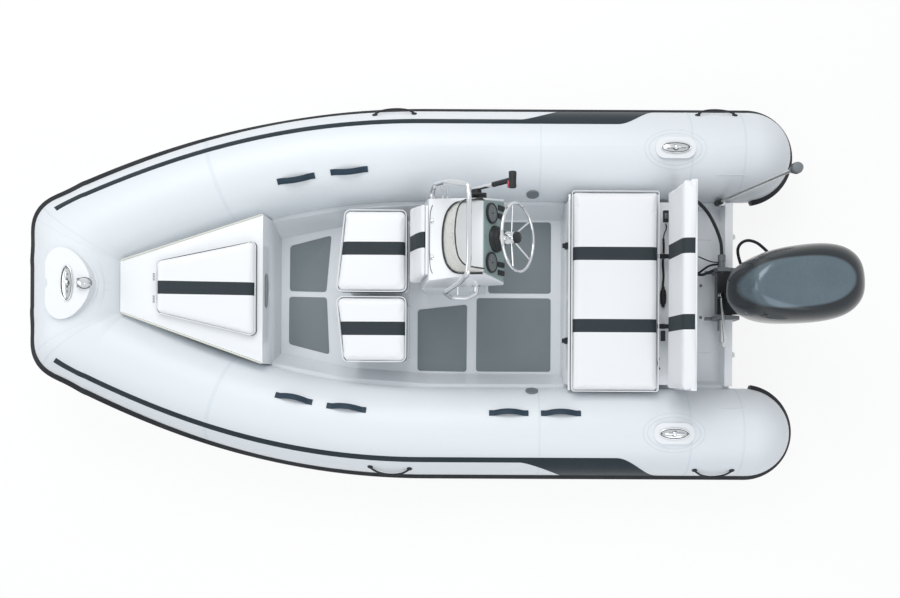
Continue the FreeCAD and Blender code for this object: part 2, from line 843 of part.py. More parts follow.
def make_outer_handles():
    spans = [(42.0, 268.0, 16.0, -1), (-1670.0, -1468.0, 16.0, -1), (65.0, 275.0, 16.0, 1),
             (-1663.0, -1459.0, 16.0, 1)]
    return Part.makeCompound([strap_handle(*span, width=26.0, lift=44.0) for span in spans])


def bow_pad_top():
    return tube_z + rise_at(bow_x) + tube_r + 17.0


def stern_pad_top():
    return tube_z + tube_r + 7.7


def make_cleats():
    pieces = []
    bow_z = bow_pad_top() + skin_gap
    stern_z = stern_pad_top() + skin_gap
    for x, y, z, long_x, long_y in ((bow_x - 28.0, 0.0, bow_z, 33, 90), (-1328.0, side_y - 8.0, stern_z, 80, 32),
                                    (-1328.0, 8.0 - side_y, stern_z, 80, 32)):
        shape = Part.Ellipse(V(max(long_x, long_y), 0, 0), V(0, min(long_x, long_y), 0), V(0, 0, 0)).toShape()
        if long_y > long_x:
            shape.rotate(V(0, 0, 0), V(0, 0, 1), 90)
        face = Part.Face(Part.Wire(shape))
        face.translate(V(x, y, z))
        plate = face.extrude(V(0, 0, 8))
        grip = rod(V(x - (0 if long_y > long_x else 45), y - (50 if long_y > long_x else 0), z + 14),
                   V(x + (0 if long_y > long_x else 45), y + (50 if long_y > long_x else 0), z + 14), 8)
        pieces.append(join([plate, grip]))
    return Part.makeCompound(pieces)


def pad_on_tubes(centre, half_x, half_y, radius, outer_tubes):
    """A moulded pad that takes the tube's curve on its underside."""
    block = box(centre.x - half_x, centre.x + half_x, centre.y - half_y, centre.y + half_y,
                centre.z - 160.0, centre.z)
    outline = rounded(block, radius, upright)
    top = max(clear_of(block, outer_tubes).Solids, key=lambda solid: solid.CenterOfMass.z)
    return top.common(outline)


def make_cleat_pads(outer_tubes):
    pads = []
    for side in (-1, 1):
        centre = V(-1328.0, side * (side_y - 8.0), stern_pad_top())
        pads.append(pad_on_tubes(centre, 106.0, 56.0, 52.0, outer_tubes))
    return Part.makeCompound(pads)


def bow_pad_outline(z):
    """An egg with its round end aft, and a straight front edge with a small notch."""
    side = [(80.0, 100.0), (62.0, 148.0), (24.0, 176.0), (-30.0, 172.0), (-84.0, 134.0), (-126.0, 74.0)]
    points = [V(bow_x + x, y, z) for x, y in side]
    points += [V(bow_x - 143.0, 0, z)] + [V(point.x, -point.y, z) for point in points[::-1]]
    curve = Part.BSplineCurve()
    curve.interpolate(points)
    notch = [points[-1], V(bow_x + 80.0, -26.0, z), V(bow_x + 70.0, -14.0, z), V(bow_x + 70.0, 14.0, z),
             V(bow_x + 80.0, 26.0, z), points[0]]
    edges = [curve.toShape()] + [Part.makeLine(notch[i], notch[i + 1]) for i in range(5)]
    return Part.Face(Part.Wire(edges))


def make_bow_pad(outer_tubes):
    top = bow_pad_top()
    block = box(bow_x - 145.0, bow_x + 82.0, -182.0, 182.0, top - 160.0, top)
    block = max(clear_of(block, outer_tubes).Solids, key=lambda solid: solid.CenterOfMass.z)
    return block.common(bow_pad_outline(top - 160.0).extrude(V(0, 0, 160.0)))


def make_bow_light():
    z = bow_pad_top() + skin_gap
    base = Part.makeCylinder(34, 10, V(bow_x - 118, 0, z))
    lens = Part.makeCone(30, 20, 34, V(bow_x - 118, 0, z + 10))
    return join([base, lens])


def make_valves():
    pieces = []
    for side in (-1, 1):
        start = on_tube(-585.0, 157.0, skin_gap, side)
        end = on_tube(-585.0, 157.0, 8.0, side)
        pieces.append(rod(start, end, 34.0))
    return Part.makeCompound(pieces)


def make_eyes(hull):
    """Towing eyes: one on the stem under the bow tube, two on the transom."""
    pieces = []
    eye_x = stem_x - 185.0
    keel = keel_at(eye_x)
    plate = slab_y([(eye_x - 44, keel + 30), (eye_x - 12, keel - 32), (eye_x + 38, keel - 34),
                    (eye_x + 66, keel + 40)], -7, 7)
    plate = plate.cut(hull)
    pieces.append(plate.cut(rod(V(eye_x + 12, -20, keel - 15), V(eye_x + 12, 20, keel - 15), 9)))
    x = transom_x - transom_t
    for side in (-1, 1):
        y = side * 330.0
        plate = slab_z([(x - 0.3, y - 30), (x - 22, y - 20), (x - 38, y - 10), (x - 38, y + 10), (x - 22, y + 20),
                        (x - 0.3, y + 30)], 218, 232)
        pieces.append(plate.cut(rod(V(x - 19, y, 200), V(x - 19, y, 250), 9)))
    return Part.makeCompound(pieces)


def make_floor_pads():
    t = 3.0
    plans = [[(796, -287), (559, -349), (587, -23), (797, -28)], [(800, 5), (584, 8), (568, 336), (801, 277)],
             [(60, 77), (-224, 45), (-222, 432), (60, 427)], [(-279, 8), (-705, 8), (-705, 430), (-277, 430)],
             [(-345, -430), (-705, -430), (-705, -20), (-345, -20)]]
    return Part.makeCompound([slab_z(plan, floor_z + skin_gap, floor_z + t) for plan in plans])


def make_stern_light():
    """An all-round light on a raked pole, in a socket on the transom."""
    foot = V(transom_x + 48, 18 - cockpit_half, 330)
    head = V(transom_x - 57, 40 - cockpit_half, 1180)
    run = head.sub(foot)
    run.normalize()
    socket = rod(foot.sub(run * 16), foot.add(run * 60), 17)
    pole = rod(foot, head, 8)
    collar = rod(head.sub(run * 12), head.add(run * 10), 17)
    lens = Part.makeSphere(26, head.add(run * 32))
    base = box(transom_x, transom_x + 68, foot.y - 12, foot.y + 14, transom_top - 20, 322.0)
    return join([base, socket, pole, collar, lens])


# Engine

def turned(shape):
    """The engine at its small rest angle to starboard helm."""
    copy = shape.copy()
    copy.rotate(V(steer_x, 0, 0), V(0, 0, 1), engine_turn)
    return copy


def make_clamp_bracket():
    """Two clamp plates over the transom, the tilt tube between them."""
    pieces = []
    aft = transom_x - transom_t
    for side in (-1, 1):
        y0 = side * bracket_y
        y1 = side * (bracket_y + bracket_t)
        profile = [(tilt_x + 26, tilt_z + 22), (tilt_x + 34, tilt_z - 40), (transom_x + 46, well_z + 10),
                   (transom_x + 0.3, well_z + 10), (transom_x + 0.3, transom_top + 0.3),
                   (aft - 0.3, transom_top + 0.3), (aft - 0.3, -40), (aft - 40, -40), (aft - 52, 180),
                   (aft - 30, transom_top + 30), (tilt_x - 26, tilt_z + 22)]
        pieces.append(slab_y(profile, min(y0, y1), max(y0, y1)))
        screw = rod(V(transom_x + 0.6, side * (bracket_y + bracket_t / 2), well_z + 34),
                    V(transom_x + 90, side * (bracket_y + bracket_t / 2), well_z + 34), 10)
        pieces.append(screw)
    tube = rod(V(tilt_x, -tilt_tube_half, tilt_z), V(tilt_x, tilt_tube_port, tilt_z), tilt_tube_r)
    nut = rod(V(tilt_x, -tilt_tube_half - 34, tilt_z), V(tilt_x, -tilt_tube_half, tilt_z), 21)
    whole = join(pieces + [tube, nut])
    return whole.cut(rod(V(tilt_x, -400, tilt_z), V(tilt_x, 400, tilt_z), 11.0))


def make_swivel():
    """Swivel bracket: a yoke on the tilt tube that carries the steering tube."""
    half = bracket_y - 6.0
    yoke = slab_y([(tilt_x + 30, tilt_z + 26), (tilt_x + 30, tilt_z - 26), (tilt_x - 20, tilt_z - 30),
                   (transom_x - 2, transom_top + 14), (transom_x - transom_t - 10, transom_top + 8),
                   (steer_x + 10, 200), (steer_x - 10, 200), (steer_x - 10, tilt_z + 20)], -half, half)
    trim = box(steer_x - 60, steer_x + 62, -half - 1, -55, -200, 330)
    yoke = yoke.cut(trim).cut(mirrored(trim))
    tube = rod(V(steer_x, 0, -20), V(steer_x, 0, arm_z - 6), swivel_r)
    whole = join([yoke, tube])
    hole = rod(V(tilt_x, -half - 5, tilt_z), V(tilt_x, half + 5, tilt_z), tilt_tube_r + 0.4)
    return whole.cut(hole).cut(rod(V(steer_x, 0, -100), V(steer_x, 0, 500), 20.4))


def make_engine_leg():
    """Mid-section with its steering arm, cavitation plate, gearcase and skeg."""
    def foil(z, front, rear, half):
        middle = front + (rear - front) * 0.35
        curve = Part.BSplineCurve()
        curve.interpolate(Points=[V(front, 0, z), V(middle, half, z), V(rear, 0.18 * half, z),
                                  V(rear, -0.18 * half, z), V(middle, -half, z)], PeriodicFlag=True)
        return Part.Wire(curve.toShape())
    mid = Part.makeLoft([foil(cowl_bottom - 2, leg_front - 6, leg_rear - 40, leg_half + 16),
                         foil(240, leg_front - 10, leg_rear, leg_half),
                         foil(plate_z + 120, leg_front - 30, leg_rear + 20, leg_half - 22),
                         foil(plate_z, leg_front - 45, leg_rear + 26, 30)], True, False)
    strut = Part.makeLoft([foil(plate_z + 4, leg_front - 45, leg_rear + 26, 30),
                           foil(shaft_z - 14, leg_front - 70, leg_rear + 20, 26)], True, True)
    plate = slab_z([(leg_front - 60, 0), (leg_front - 90, 60), (leg_rear - 60, 95), (leg_rear - 120, 80),
                    (leg_rear - 120, -80), (leg_rear - 60, -95), (leg_front - 90, -60)], plate_z - 4, plate_z + 6)
    nose = Part.makeSphere(torpedo_r, V(leg_front - 70, 0, shaft_z))
    body = rod(V(leg_front - 70, 0, shaft_z), V(prop_x + 52, 0, shaft_z), torpedo_r)
    skeg = Part.makeLoft([foil(shaft_z - 10, leg_front - 96, leg_rear + 4, 8),
                          foil(skeg_z, leg_front - 150, leg_rear - 16, 5)], True, True)
    pin = rod(V(steer_x, 0, -70), V(steer_x, 0, arm_z), 20)
    foot = box(leg_front - 40, steer_x + 18, -32, 32, -72, -24)
    crown = box(leg_front - 20, steer_x + 30, -48, 48, arm_z, cowl_bottom - 2)
    arm = box(steer_x, steer_x + arm_len, -16, 16, arm_z, arm_z + 14)
    whole = join([mid, strut, plate, nose, body, skeg, pin, foot, crown, arm])
    return turned(whole)


def oval(z, front, rear, half, power):
    """A cowl's plan outline: an egg with its blunt end aft."""
    centre = (front + rear) / 2
    reach = (front - rear) / 2
    points = []
    for i in range(16):
        angle = 2 * math.pi * i / 16
        cosine, sine = math.cos(angle), math.sin(angle)
        x = centre + reach * math.copysign(abs(cosine) ** power, cosine)
        y = half * math.copysign(abs(sine) ** power, sine) * (1 - 0.10 * cosine)
        points.append(V(x, y, z))
    curve = Part.BSplineCurve()
    curve.interpolate(Points=points, PeriodicFlag=True)
    return Part.Wire(curve.toShape())


def make_cowl():
    rings = [oval(cowl_bottom, cowl_front - 40, cowl_rear + 110, cowl_half - 34, 0.8),
             oval(cowl_bottom + 90, cowl_front - 4, cowl_rear + 30, cowl_half - 6, 0.8),
             oval(cowl_bottom + 210, cowl_front, cowl_rear, cowl_half, 0.8),
             oval(cowl_top - 80, cowl_front - 30, cowl_rear + 16, cowl_half - 12, 0.8),
             oval(cowl_top - 22, cowl_front - 52, cowl_rear + 60, cowl_half - 44, 0.85),
             oval(cowl_top, cowl_front - 90, cowl_rear + 110, cowl_half - 84, 0.9)]
    outer = Part.makeLoft(rings, True, False)
    hollow = box(cowl_rear + 150, cowl_front - 110, -140, 140, cowl_bottom + 30, cowl_top - 75)
    return turned(outer.cut(hollow))


def make_power_head():
    return turned(box(cowl_rear + 152, cowl_front - 112, -138, 138, cowl_bottom + 30.3, cowl_top - 77))


def make_propeller():
    """Three raked blades on a hub."""
    aft = prop_x - 55
    hub = Part.makeCone(hub_r, hub_r - 12, 105, V(prop_x + 50, 0, shaft_z), V(-1, 0, 0))
    blades = []
    for i in range(3):
        blade = slab_x([(-6, hub_r - 12), (-52, hub_r + 46), (-58, prop_r - 42), (-26, prop_r - 6),
                        (18, prop_r), (56, prop_r - 36), (60, hub_r + 40), (8, hub_r - 12)], -3.5, 3.5)
        blade.rotate(V(0, 0, 0), V(0, 0, 1), -32)
        blade.rotate(V(0, 0, 0), V(1, 0, 0), 120 * i)
        blade.translate(V(prop_x, 0, shaft_z))
        blades.append(blade)
    cap = rod(V(aft, 0, shaft_z), V(aft - 16, 0, shaft_z), 18)
    return turned(join([hub, cap] + blades))


def arm_pin():
    """The steering arm's pivot, with the engine at its rest angle."""
    turn = math.radians(engine_turn)
    return V(steer_x + (arm_len - 16) * math.cos(turn), (arm_len - 16) * math.sin(turn), arm_z + 14)


def make_steering_rod():
    pin = arm_pin()
    y = link_y + pin.y
    bar = rod(V(tilt_x, -60, tilt_z), V(tilt_x, y, tilt_z), 9.5)
    end = rod(V(tilt_x, y, tilt_z - 14), V(tilt_x, y, pin.z + 0.5), 14)
    return join([bar, end])


def make_drag_link():
    pin = arm_pin()
    y = link_y + pin.y
    low = pin.z + 1.0
    pieces = [rod(V(tilt_x, y, low), V(tilt_x, y, low + 18), 16), rod(V(pin.x, pin.y, low), V(pin.x, pin.y, low + 18), 15)]
    pieces.append(rod(V(tilt_x, y, low + 9), V(pin.x, pin.y, low + 9), 7))
    pieces.append(rod(V(pin.x, pin.y, low + 18), V(pin.x, pin.y, low + 26), 9))
    return join(pieces)


# Cables and hoses

def make_steering_cable():
    """From the console's side deck, round the well, into the tilt tube's nut."""
    points = [V(-1372, -540, 392), V(-1420, -530, 380), V(-1480, -490, 350), V(-1530, -430, 330),
              V(-1570, -360, 335), V(-1600, -290, 360), V(tilt_x, -250, 374),
              V(tilt_x, -tilt_tube_half - 34.3, tilt_z)]
    return bent_tube(points, 9.0)


def make_fuel_hose():
    z = 345.0
    points = [V(-1300, -300, z + 8), V(-1304, -240, z + 8), V(-1296, -170, z + 8), V(-1303, -100, z + 8),
              V(-1297, -40, z + 8)]
    hose = bent_tube(points, 6.0)
    bulb = Part.makeCylinder(17, 110, V(-1300, -40, z + 18), V(0, 1, 0))
    return join([hose, rod(V(-1297, -40, z + 8), V(-1299, -30, z + 16), 8), bulb])


def make_harness():
    """Control cables in one sleeve, out of the bench's back and up to the starboard clamp."""
    y = -bracket_y - bracket_t / 2
    start_x = back_front_x - back_pad - back_panel - skin_gap
    end_x = tilt_x + 34.3
    run = start_x - end_x
    points = [V(start_x, y, well_z + 66), V(start_x - 0.28 * run, y, well_z + 62), V(start_x - 0.62 * run, y, well_z + 96),
              V(start_x - 0.82 * run, y, well_z + 130), V(end_x, y, well_z + 137)]
    return bent_tube(points, 8.0)


def export(name, shape):
    if not shape.isValid():
        print("not valid:", name)
    shape.exportStep("parts/%s.step" % name)
    print("%-22s solids %d  volume %.2f litres" % (name, len(shape.Solids), shape.Volume / 1e6))


def main():
    os.makedirs("parts", exist_ok=True)
    near = side_pieces(tube_r + 0.5)
    near += [mirrored(piece) for piece in near] + bow_pieces(tube_r + 0.5)
    port = join(side_pieces(tube_r))
    hull = make_hull(near)
    nodes = {
        "tube_port": port, "tube_starboard": mirrored(port), "tube_bow": join(bow_pieces(tube_r)),
        "rub_strake": make_strake(), "hull": hull, "deck_liner": make_liner(near), "cockpit_floor": floor_slab(skin_gap),
        "bow_locker": make_bow_locker(near), "bow_locker_lid": make_bow_lid(),
        "console_seat_box": seat_box(console_seat_y), "console_seat_lid": seat_lid(console_seat_y),
        "port_seat_box": seat_box(port_seat_y), "port_seat_lid": seat_lid(port_seat_y),
        "bench_box": make_bench_box(), "bench_lid": make_bench_lid(), "bench_backrest": make_bench_backrest(),
        "console": make_console(), "console_hatch": make_hatch(), "console_backrest": make_console_backrest(),
        "dash": make_dash(), "windscreen": make_windscreen(), "console_rail": make_rail(),
        "steering_wheel": make_wheel(), "throttle_control": make_throttle(),
        "inner_handles": make_inner_handles(), "outer_handles": make_outer_handles(),
        "cleats": make_cleats(), "cleat_pads": make_cleat_pads(near), "bow_step_pad": make_bow_pad(near),
        "bow_light": make_bow_light(), "inflation_valves": make_valves(), "tow_eyes": make_eyes(hull),
        "floor_pads": make_floor_pads(), "stern_light": make_stern_light(),
        "clamp_bracket": make_clamp_bracket(), "swivel_bracket": make_swivel(),
        "engine_leg": make_engine_leg(), "engine_cowl": make_cowl(), "power_head": make_power_head(),
        "propeller": make_propeller(), "steering_rod": make_steering_rod(), "drag_link": make_drag_link(),
        "steering_cable": make_steering_cable(), "fuel_hose": make_fuel_hose(), "engine_harness": make_harness(),
    }
    for name, shape in nodes.items():
        export(name, shape)


main()
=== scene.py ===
import math

import bmesh
import bpy
from mathutils import Matrix, Vector
from mathutils.bvhtree import BVHTree


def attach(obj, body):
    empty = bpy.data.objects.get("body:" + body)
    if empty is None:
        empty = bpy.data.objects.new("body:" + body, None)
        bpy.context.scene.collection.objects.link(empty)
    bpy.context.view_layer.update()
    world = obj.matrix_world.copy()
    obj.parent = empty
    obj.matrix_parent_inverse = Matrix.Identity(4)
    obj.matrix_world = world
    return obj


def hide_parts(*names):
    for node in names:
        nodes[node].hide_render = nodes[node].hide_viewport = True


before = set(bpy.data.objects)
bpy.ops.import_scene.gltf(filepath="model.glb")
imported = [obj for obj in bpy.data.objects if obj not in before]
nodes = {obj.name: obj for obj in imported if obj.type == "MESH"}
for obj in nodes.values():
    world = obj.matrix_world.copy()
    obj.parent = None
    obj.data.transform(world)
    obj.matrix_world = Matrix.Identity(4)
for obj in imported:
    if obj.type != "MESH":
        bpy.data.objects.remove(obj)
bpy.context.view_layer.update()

UP, ACROSS = Vector((0, 0, 1)), Vector((0, 1, 0))
SIDES = (-1, 1)

# Sizes shared with the part, in metres: the collar

TUBE_R, TUBE_Z = 0.242, 0.270
SIDE_Y, DOME_X = 0.760, -1.763
SIDE_HANDLE, BOW_HANDLE = 0.650, 0.543
BOW_ANGLE, DOME_WRAP = math.radians(28.0), math.radians(172.0)
BOW_X, FRONT_HALF, PIVOT_GAP = 1.780, 0.108, 0.020
BOW_RISE, RISE_RUN = 0.278, 2.000
STRAKE_PROUD, STRAKE_RISE, STRAKE_LEVEL_X = 0.020, 0.066, 0.600
BOW_PAD_TOP, STERN_PAD_TOP, STERN_CLEAT_X = 0.7493, 0.5197, -1.328

# Stern, lockers and seats

TRANSOM_X, TRANSOM_TOP = -1.648, 0.313
LOCKER_AFT_X, LOCKER_FORE_X = 0.845, 1.552
LOCKER_AFT_Z, LOCKER_FORE_Z = 0.500, 0.600
LOCKER_SLOPE = (LOCKER_FORE_Z - LOCKER_AFT_Z) / (LOCKER_FORE_X - LOCKER_AFT_X)
LID_AFT_X, LID_FORE_X, LID_AFT_HALF, LID_FORE_HALF, LID_T = 0.871, 1.369, 0.256, 0.137, 0.042
SEAT_AFT_X, SEAT_FORE_X, SEAT_RAKE, SEAT_REACH = 0.088, 0.468, 0.045, 0.400
SEAT_TOP, SEAT_BOX_TOP, SEAT_GAP = 0.475, 0.405, 0.002
BENCH_FORE_X, BENCH_AFT_X, BENCH_HALF, BENCH_TOP = -0.786, -1.255, 0.535, 0.485
BACK_X, BACK_PAD, BACK_LEAN, BACK_HOOD, BACK_REAR_X = -1.286, 0.058, 0.018, 0.0115, -1.3745
BACK_LOW, BACK_TOP, BACK_HALF = 0.522, 0.820, 0.522

# Console and engine

CONSOLE_Y, CONSOLE_HALF, CONSOLE_TOP_HALF = -0.226, 0.215, 0.184
BROW = Vector((-0.048, 0, 0.745))
DASH_TOP = Vector((-0.318, 0, 0.866))
DASH_FOOT = Vector((-0.423, 0, 0.680))
DASH_DOWN = (DASH_FOOT - DASH_TOP).normalized()
DASH_OUT = Vector((DASH_DOWN.z, 0, -DASH_DOWN.x))
CONSOLE_SLOPE = (DASH_TOP.z - BROW.z) / (BROW.x - DASH_TOP.x)
FRONT_UP = (BROW - Vector((0.015, 0, 0.430))).normalized()
GAUGE_S, HELM_S, WHEEL_OUT, WHEEL_R, WHEEL_TUBE = 0.0732, 0.120, 0.130, 0.174, 0.008
STEER_X, ENGINE_TURN = -1.765, math.radians(5.0)


# Mesh helpers

BOX_FACES = [(0, 3, 2, 1), (4, 5, 6, 7), (0, 1, 5, 4), (1, 2, 6, 5), (2, 3, 7, 6), (3, 0, 4, 7)]


def paint(piece, material):
    piece.data.materials.clear()
    piece.data.materials.append(material)


def set_smooth(piece, smooth=True):
    piece.data.polygons.foreach_set("use_smooth", [smooth] * len(piece.data.polygons))


def add_object(name, data, material=None):
    piece = bpy.data.objects.new(name, data)
    bpy.context.scene.collection.objects.link(piece)
    if material:
        paint(piece, material)
    return piece


def from_bmesh(name, work, material=None):
    mesh = bpy.data.meshes.new(name)
    work.to_mesh(mesh)
    work.free()
    return add_object(name, mesh, material)


def mesh_from(name, points, faces, material=None, smooth=True):
    """A piece from its points and faces, its normals turned outwards."""
    mesh = bpy.data.meshes.new(name)
    mesh.from_pydata([tuple(p) for p in points], [], faces)
    mesh.validate()
    work = bmesh.new()
    work.from_mesh(mesh)
    bmesh.ops.recalc_face_normals(work, faces=work.faces)
    work.to_mesh(mesh)
    work.free()
    piece = add_object(name, mesh, material)
    set_smooth(piece, smooth)
    return piece


def baked(piece):
    """The piece with its modifiers applied and its place put into its mesh."""
    bpy.context.view_layer.update()
    view = bpy.context.evaluated_depsgraph_get()
    mesh = bpy.data.meshes.new_from_object(piece.evaluated_get(view), depsgraph=view)
    mesh.transform(piece.matrix_world)
    materials = [slot.material for slot in piece.material_slots]
    name = piece.name
    bpy.data.objects.remove(piece)
    if not mesh.materials:
        for material in materials:
            mesh.materials.append(material)
    return add_object(name, mesh)


def joined(name, pieces):
    """Several pieces as one mesh, each with its own material."""
    work = bmesh.new()
    materials = []
    for piece in pieces:
        mesh = piece.data
        offset = len(work.faces)
        work.from_mesh(mesh)
        work.faces.ensure_lookup_table()
        for face in work.faces[offset:]:
            material = mesh.materials[face.material_index] if mesh.materials else None
            if material not in materials:
                materials.append(material)
            face.material_index = materials.index(material)
        bpy.data.objects.remove(piece)
    whole = from_bmesh(name, work)
    for material in materials:
        whole.data.materials.append(material)
    return whole


def bevelled(piece, width, segments=2, angle=30.0):
    """Rounds a piece's sharp edges and bakes it."""
    modifier = piece.modifiers.new("edge", "BEVEL")
    modifier.width = width
    modifier.segments = segments
    modifier.limit_method = "ANGLE"
    modifier.angle_limit = math.radians(angle)
    modifier.harden_normals = False
    return baked(piece)


def nurbs_curve(name, points, resolution, closed=False):
    """A smooth curve through its points' control polygon."""
    curve = bpy.data.curves.new(name, "CURVE")
    curve.dimensions = "3D"
    spline = curve.splines.new("NURBS")
    spline.points.add(len(points) - 1)
    for target, point in zip(spline.points, points):
        target.co = (*point, 1.0)
    spline.order_u = 3
    spline.use_endpoint_u = not closed
    spline.use_cyclic_u = closed
    spline.resolution_u = resolution
    return curve


def tube_along(name, points, radius, material, sides=14, closed=False):
    """A round tube along a smooth curve."""
    curve = nurbs_curve(name, points, 6, closed)
    curve.bevel_depth = radius
    curve.bevel_resolution = max(1, sides // 4 - 1)
    curve.use_fill_caps = not closed
    piece = baked(add_object(name, curve))
    paint(piece, material)
    set_smooth(piece)
    return piece


def lathe(name, profile, origin, axis, material, steps=40):
    """A turned piece: (radius, height) points round an axis."""
    direction = Vector(axis).normalized()
    side = direction.orthogonal().normalized()
    other = direction.cross(side)
    points, faces = [], []
    for radius, height in profile:
        level = Vector(origin) + direction * height
        for i in range(steps):
            angle = 2 * math.pi * i / steps
            points.append(level + (side * math.cos(angle) + other * math.sin(angle)) * radius)
    for row in range(0, (len(profile) - 1) * steps, steps):
        for i in range(steps):
            j = (i + 1) % steps
            faces.append((row + i, row + j, row + steps + j, row + steps + i))
    faces.append(tuple(range(steps))[::-1])
    faces.append(tuple((len(profile) - 1) * steps + i for i in range(steps)))
    return mesh_from(name, points, faces, material)


def block(name, low, high, material, edge=0.003, segments=2):
    """A moulded block with rounded edges."""
    work = bmesh.new()
    bmesh.ops.create_cube(work, size=1.0)
    low, high = Vector(low), Vector(high)
    for vert in work.verts:
        vert.co = Vector([low[i] + (vert.co[i] + 0.5) * (high[i] - low[i]) for i in range(3)])
    bmesh.ops.bevel(work, geom=work.edges[:], offset=edge, segments=segments, affect="EDGES", profile=0.6)
    return from_bmesh(name, work, material)


def rim_faces(count):
    """The faces between two closed outlines of as many points."""
    return [(i, (i + 1) % count, count + (i + 1) % count, count + i) for i in range(count)]


def prism(name, outline, low, high, material, edge=0.0, segments=2):
    """A plan outline between two heights, with its edges rounded."""
    count = len(outline)
    points = [Vector((x, y, z)) for z in (low, high) for x, y in outline]
    faces = [tuple(range(count))[::-1], tuple(range(count, 2 * count))] + rim_faces(count)
    piece = mesh_from(name, points, faces, material, smooth=False)
    if edge:
        piece = bevelled(piece, edge, segments, 40.0)
    return piece


def ellipse(x, y, half_x, half_y, count):
    """Plan points round an ellipse."""
    turns = [2 * math.pi * i / count for i in range(count)]
    return [(x + half_x * math.cos(turn), y + half_y * math.sin(turn)) for turn in turns]


def soft_corners(outline, radius, steps=6):
    """A closed plan outline with its corners rounded."""
    points = []
    count = len(outline)
    for i in range(count):
        corner = Vector(outline[i])
        before = (Vector(outline[i - 1]) - corner).normalized()
        after = (Vector(outline[(i + 1) % count]) - corner).normalized()
        half = before.angle(after) / 2
        reach = radius / math.tan(half)
        centre = corner + (before + after).normalized() * (radius / math.sin(half))
        start, end = corner + before * reach - centre, corner + after * reach - centre
        for k in range(steps + 1):
            points.append(tuple(centre + start.lerp(end, k / steps).normalized() * radius))
    return points


def inset(outline, distance):
    """A closed plan outline moved inwards."""
    centre = Vector((sum(p[0] for p in outline), sum(p[1] for p in outline))) / len(outline)
    moved = []
    for i, point in enumerate(outline):
        run = Vector(outline[(i + 1) % len(outline)]) - Vector(outline[i - 1])
        normal = Vector((-run.y, run.x)).normalized()
        if normal.dot(centre - Vector(point)) < 0:
            normal = -normal
        moved.append(tuple(Vector(point) + normal * distance))
    return moved


def shade(piece, angle=35.0):
    """Smooth faces that meet at less than an angle."""
    set_smooth(piece)
    piece.data.set_sharp_from_angle(angle=math.radians(angle))
    return piece


def fit(piece, body):
    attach(piece, body)
    return piece


def spread(start, end, steps):
    return [start + (end - start) * i / steps for i in range(steps + 1)]


def share_of(value, start, end):
    """How far a value lies from the start to the end, from nought to one."""
    return min(1.0, max(0.0, (value - start) / (end - start)))


def eased(share):
    return share * share * (3 - 2 * share)


# Shader groups

def new_group(name, inputs, outputs):
    group = bpy.data.node_groups.new(name, "ShaderNodeTree")
    for label, kind, value in inputs:
        socket = group.interface.new_socket(name=label, in_out="INPUT", socket_type=kind)
        socket.default_value = value
    for label, kind in outputs:
        group.interface.new_socket(name=label, in_out="OUTPUT", socket_type=kind)
    return group, group.nodes.new("NodeGroupInput"), group.nodes.new("NodeGroupOutput")


def set_or_link(tree, socket, value):
    if isinstance(value, (int, float)):
        socket.default_value = value
    else:
        tree.links.new(value, socket)


def math_node(tree, operation, a, b=None, clamp=False):
    node = tree.nodes.new("ShaderNodeMath")
    node.operation = operation
    node.use_clamp = clamp
    set_or_link(tree, node.inputs[0], a)
    if b is not None:
        set_or_link(tree, node.inputs[1], b)
    return node.outputs[0]


def times(tree, a, b, clamp=False):
    return math_node(tree, "MULTIPLY", a, b, clamp)


def ramp(tree, value, start, end):
    """Nought at the start value, one at the end value."""
    node = tree.nodes.new("ShaderNodeMapRange")
    node.inputs["From Min"].default_value = start
    node.inputs["From Max"].default_value = end
    tree.links.new(value, node.inputs["Value"])
    return node.outputs["Result"]


def object_place(tree):
    return tree.nodes.new("ShaderNodeTexCoord").outputs["Object"]


def parted(tree, vector):
    node = tree.nodes.new("ShaderNodeSeparateXYZ")
    tree.links.new(vector, node.inputs[0])
    return node.outputs


def noise(tree, vector, scale, detail=3.0, roughness=0.5):
    node = tree.nodes.new("ShaderNodeTexNoise")
    node.inputs["Detail"].default_value = detail
    node.inputs["Roughness"].default_value = roughness
    tree.links.new(vector, node.inputs["Vector"])
    set_or_link(tree, node.inputs["Scale"], scale)
    return node.outputs["Fac"]


def crossed_waves(tree, vector, scale, distortion=0.0):
    """Two wave patterns at right angles."""
    waves = []
    for direction in ("X", "Y"):
        wave = tree.nodes.new("ShaderNodeTexWave")
        wave.bands_direction = direction
        wave.inputs["Distortion"].default_value = distortion
        wave.inputs["Detail Scale"].default_value = 2.0
        tree.links.new(vector, wave.inputs["Vector"])
        set_or_link(tree, wave.inputs["Scale"], scale)
        waves.append(wave.outputs["Fac"])
    return waves


def live(sockets):
    return [socket for socket in sockets if socket.enabled]


def mixed(tree, kind, mask, first, second):
    """The first value where the mask is nought, the second where it is one."""
    node = tree.nodes.new("ShaderNodeMix")
    node.data_type = kind
    for socket, value in zip(live(node.inputs), (mask, first, second)):
        tree.links.new(value, socket)
    return live(node.outputs)[0]


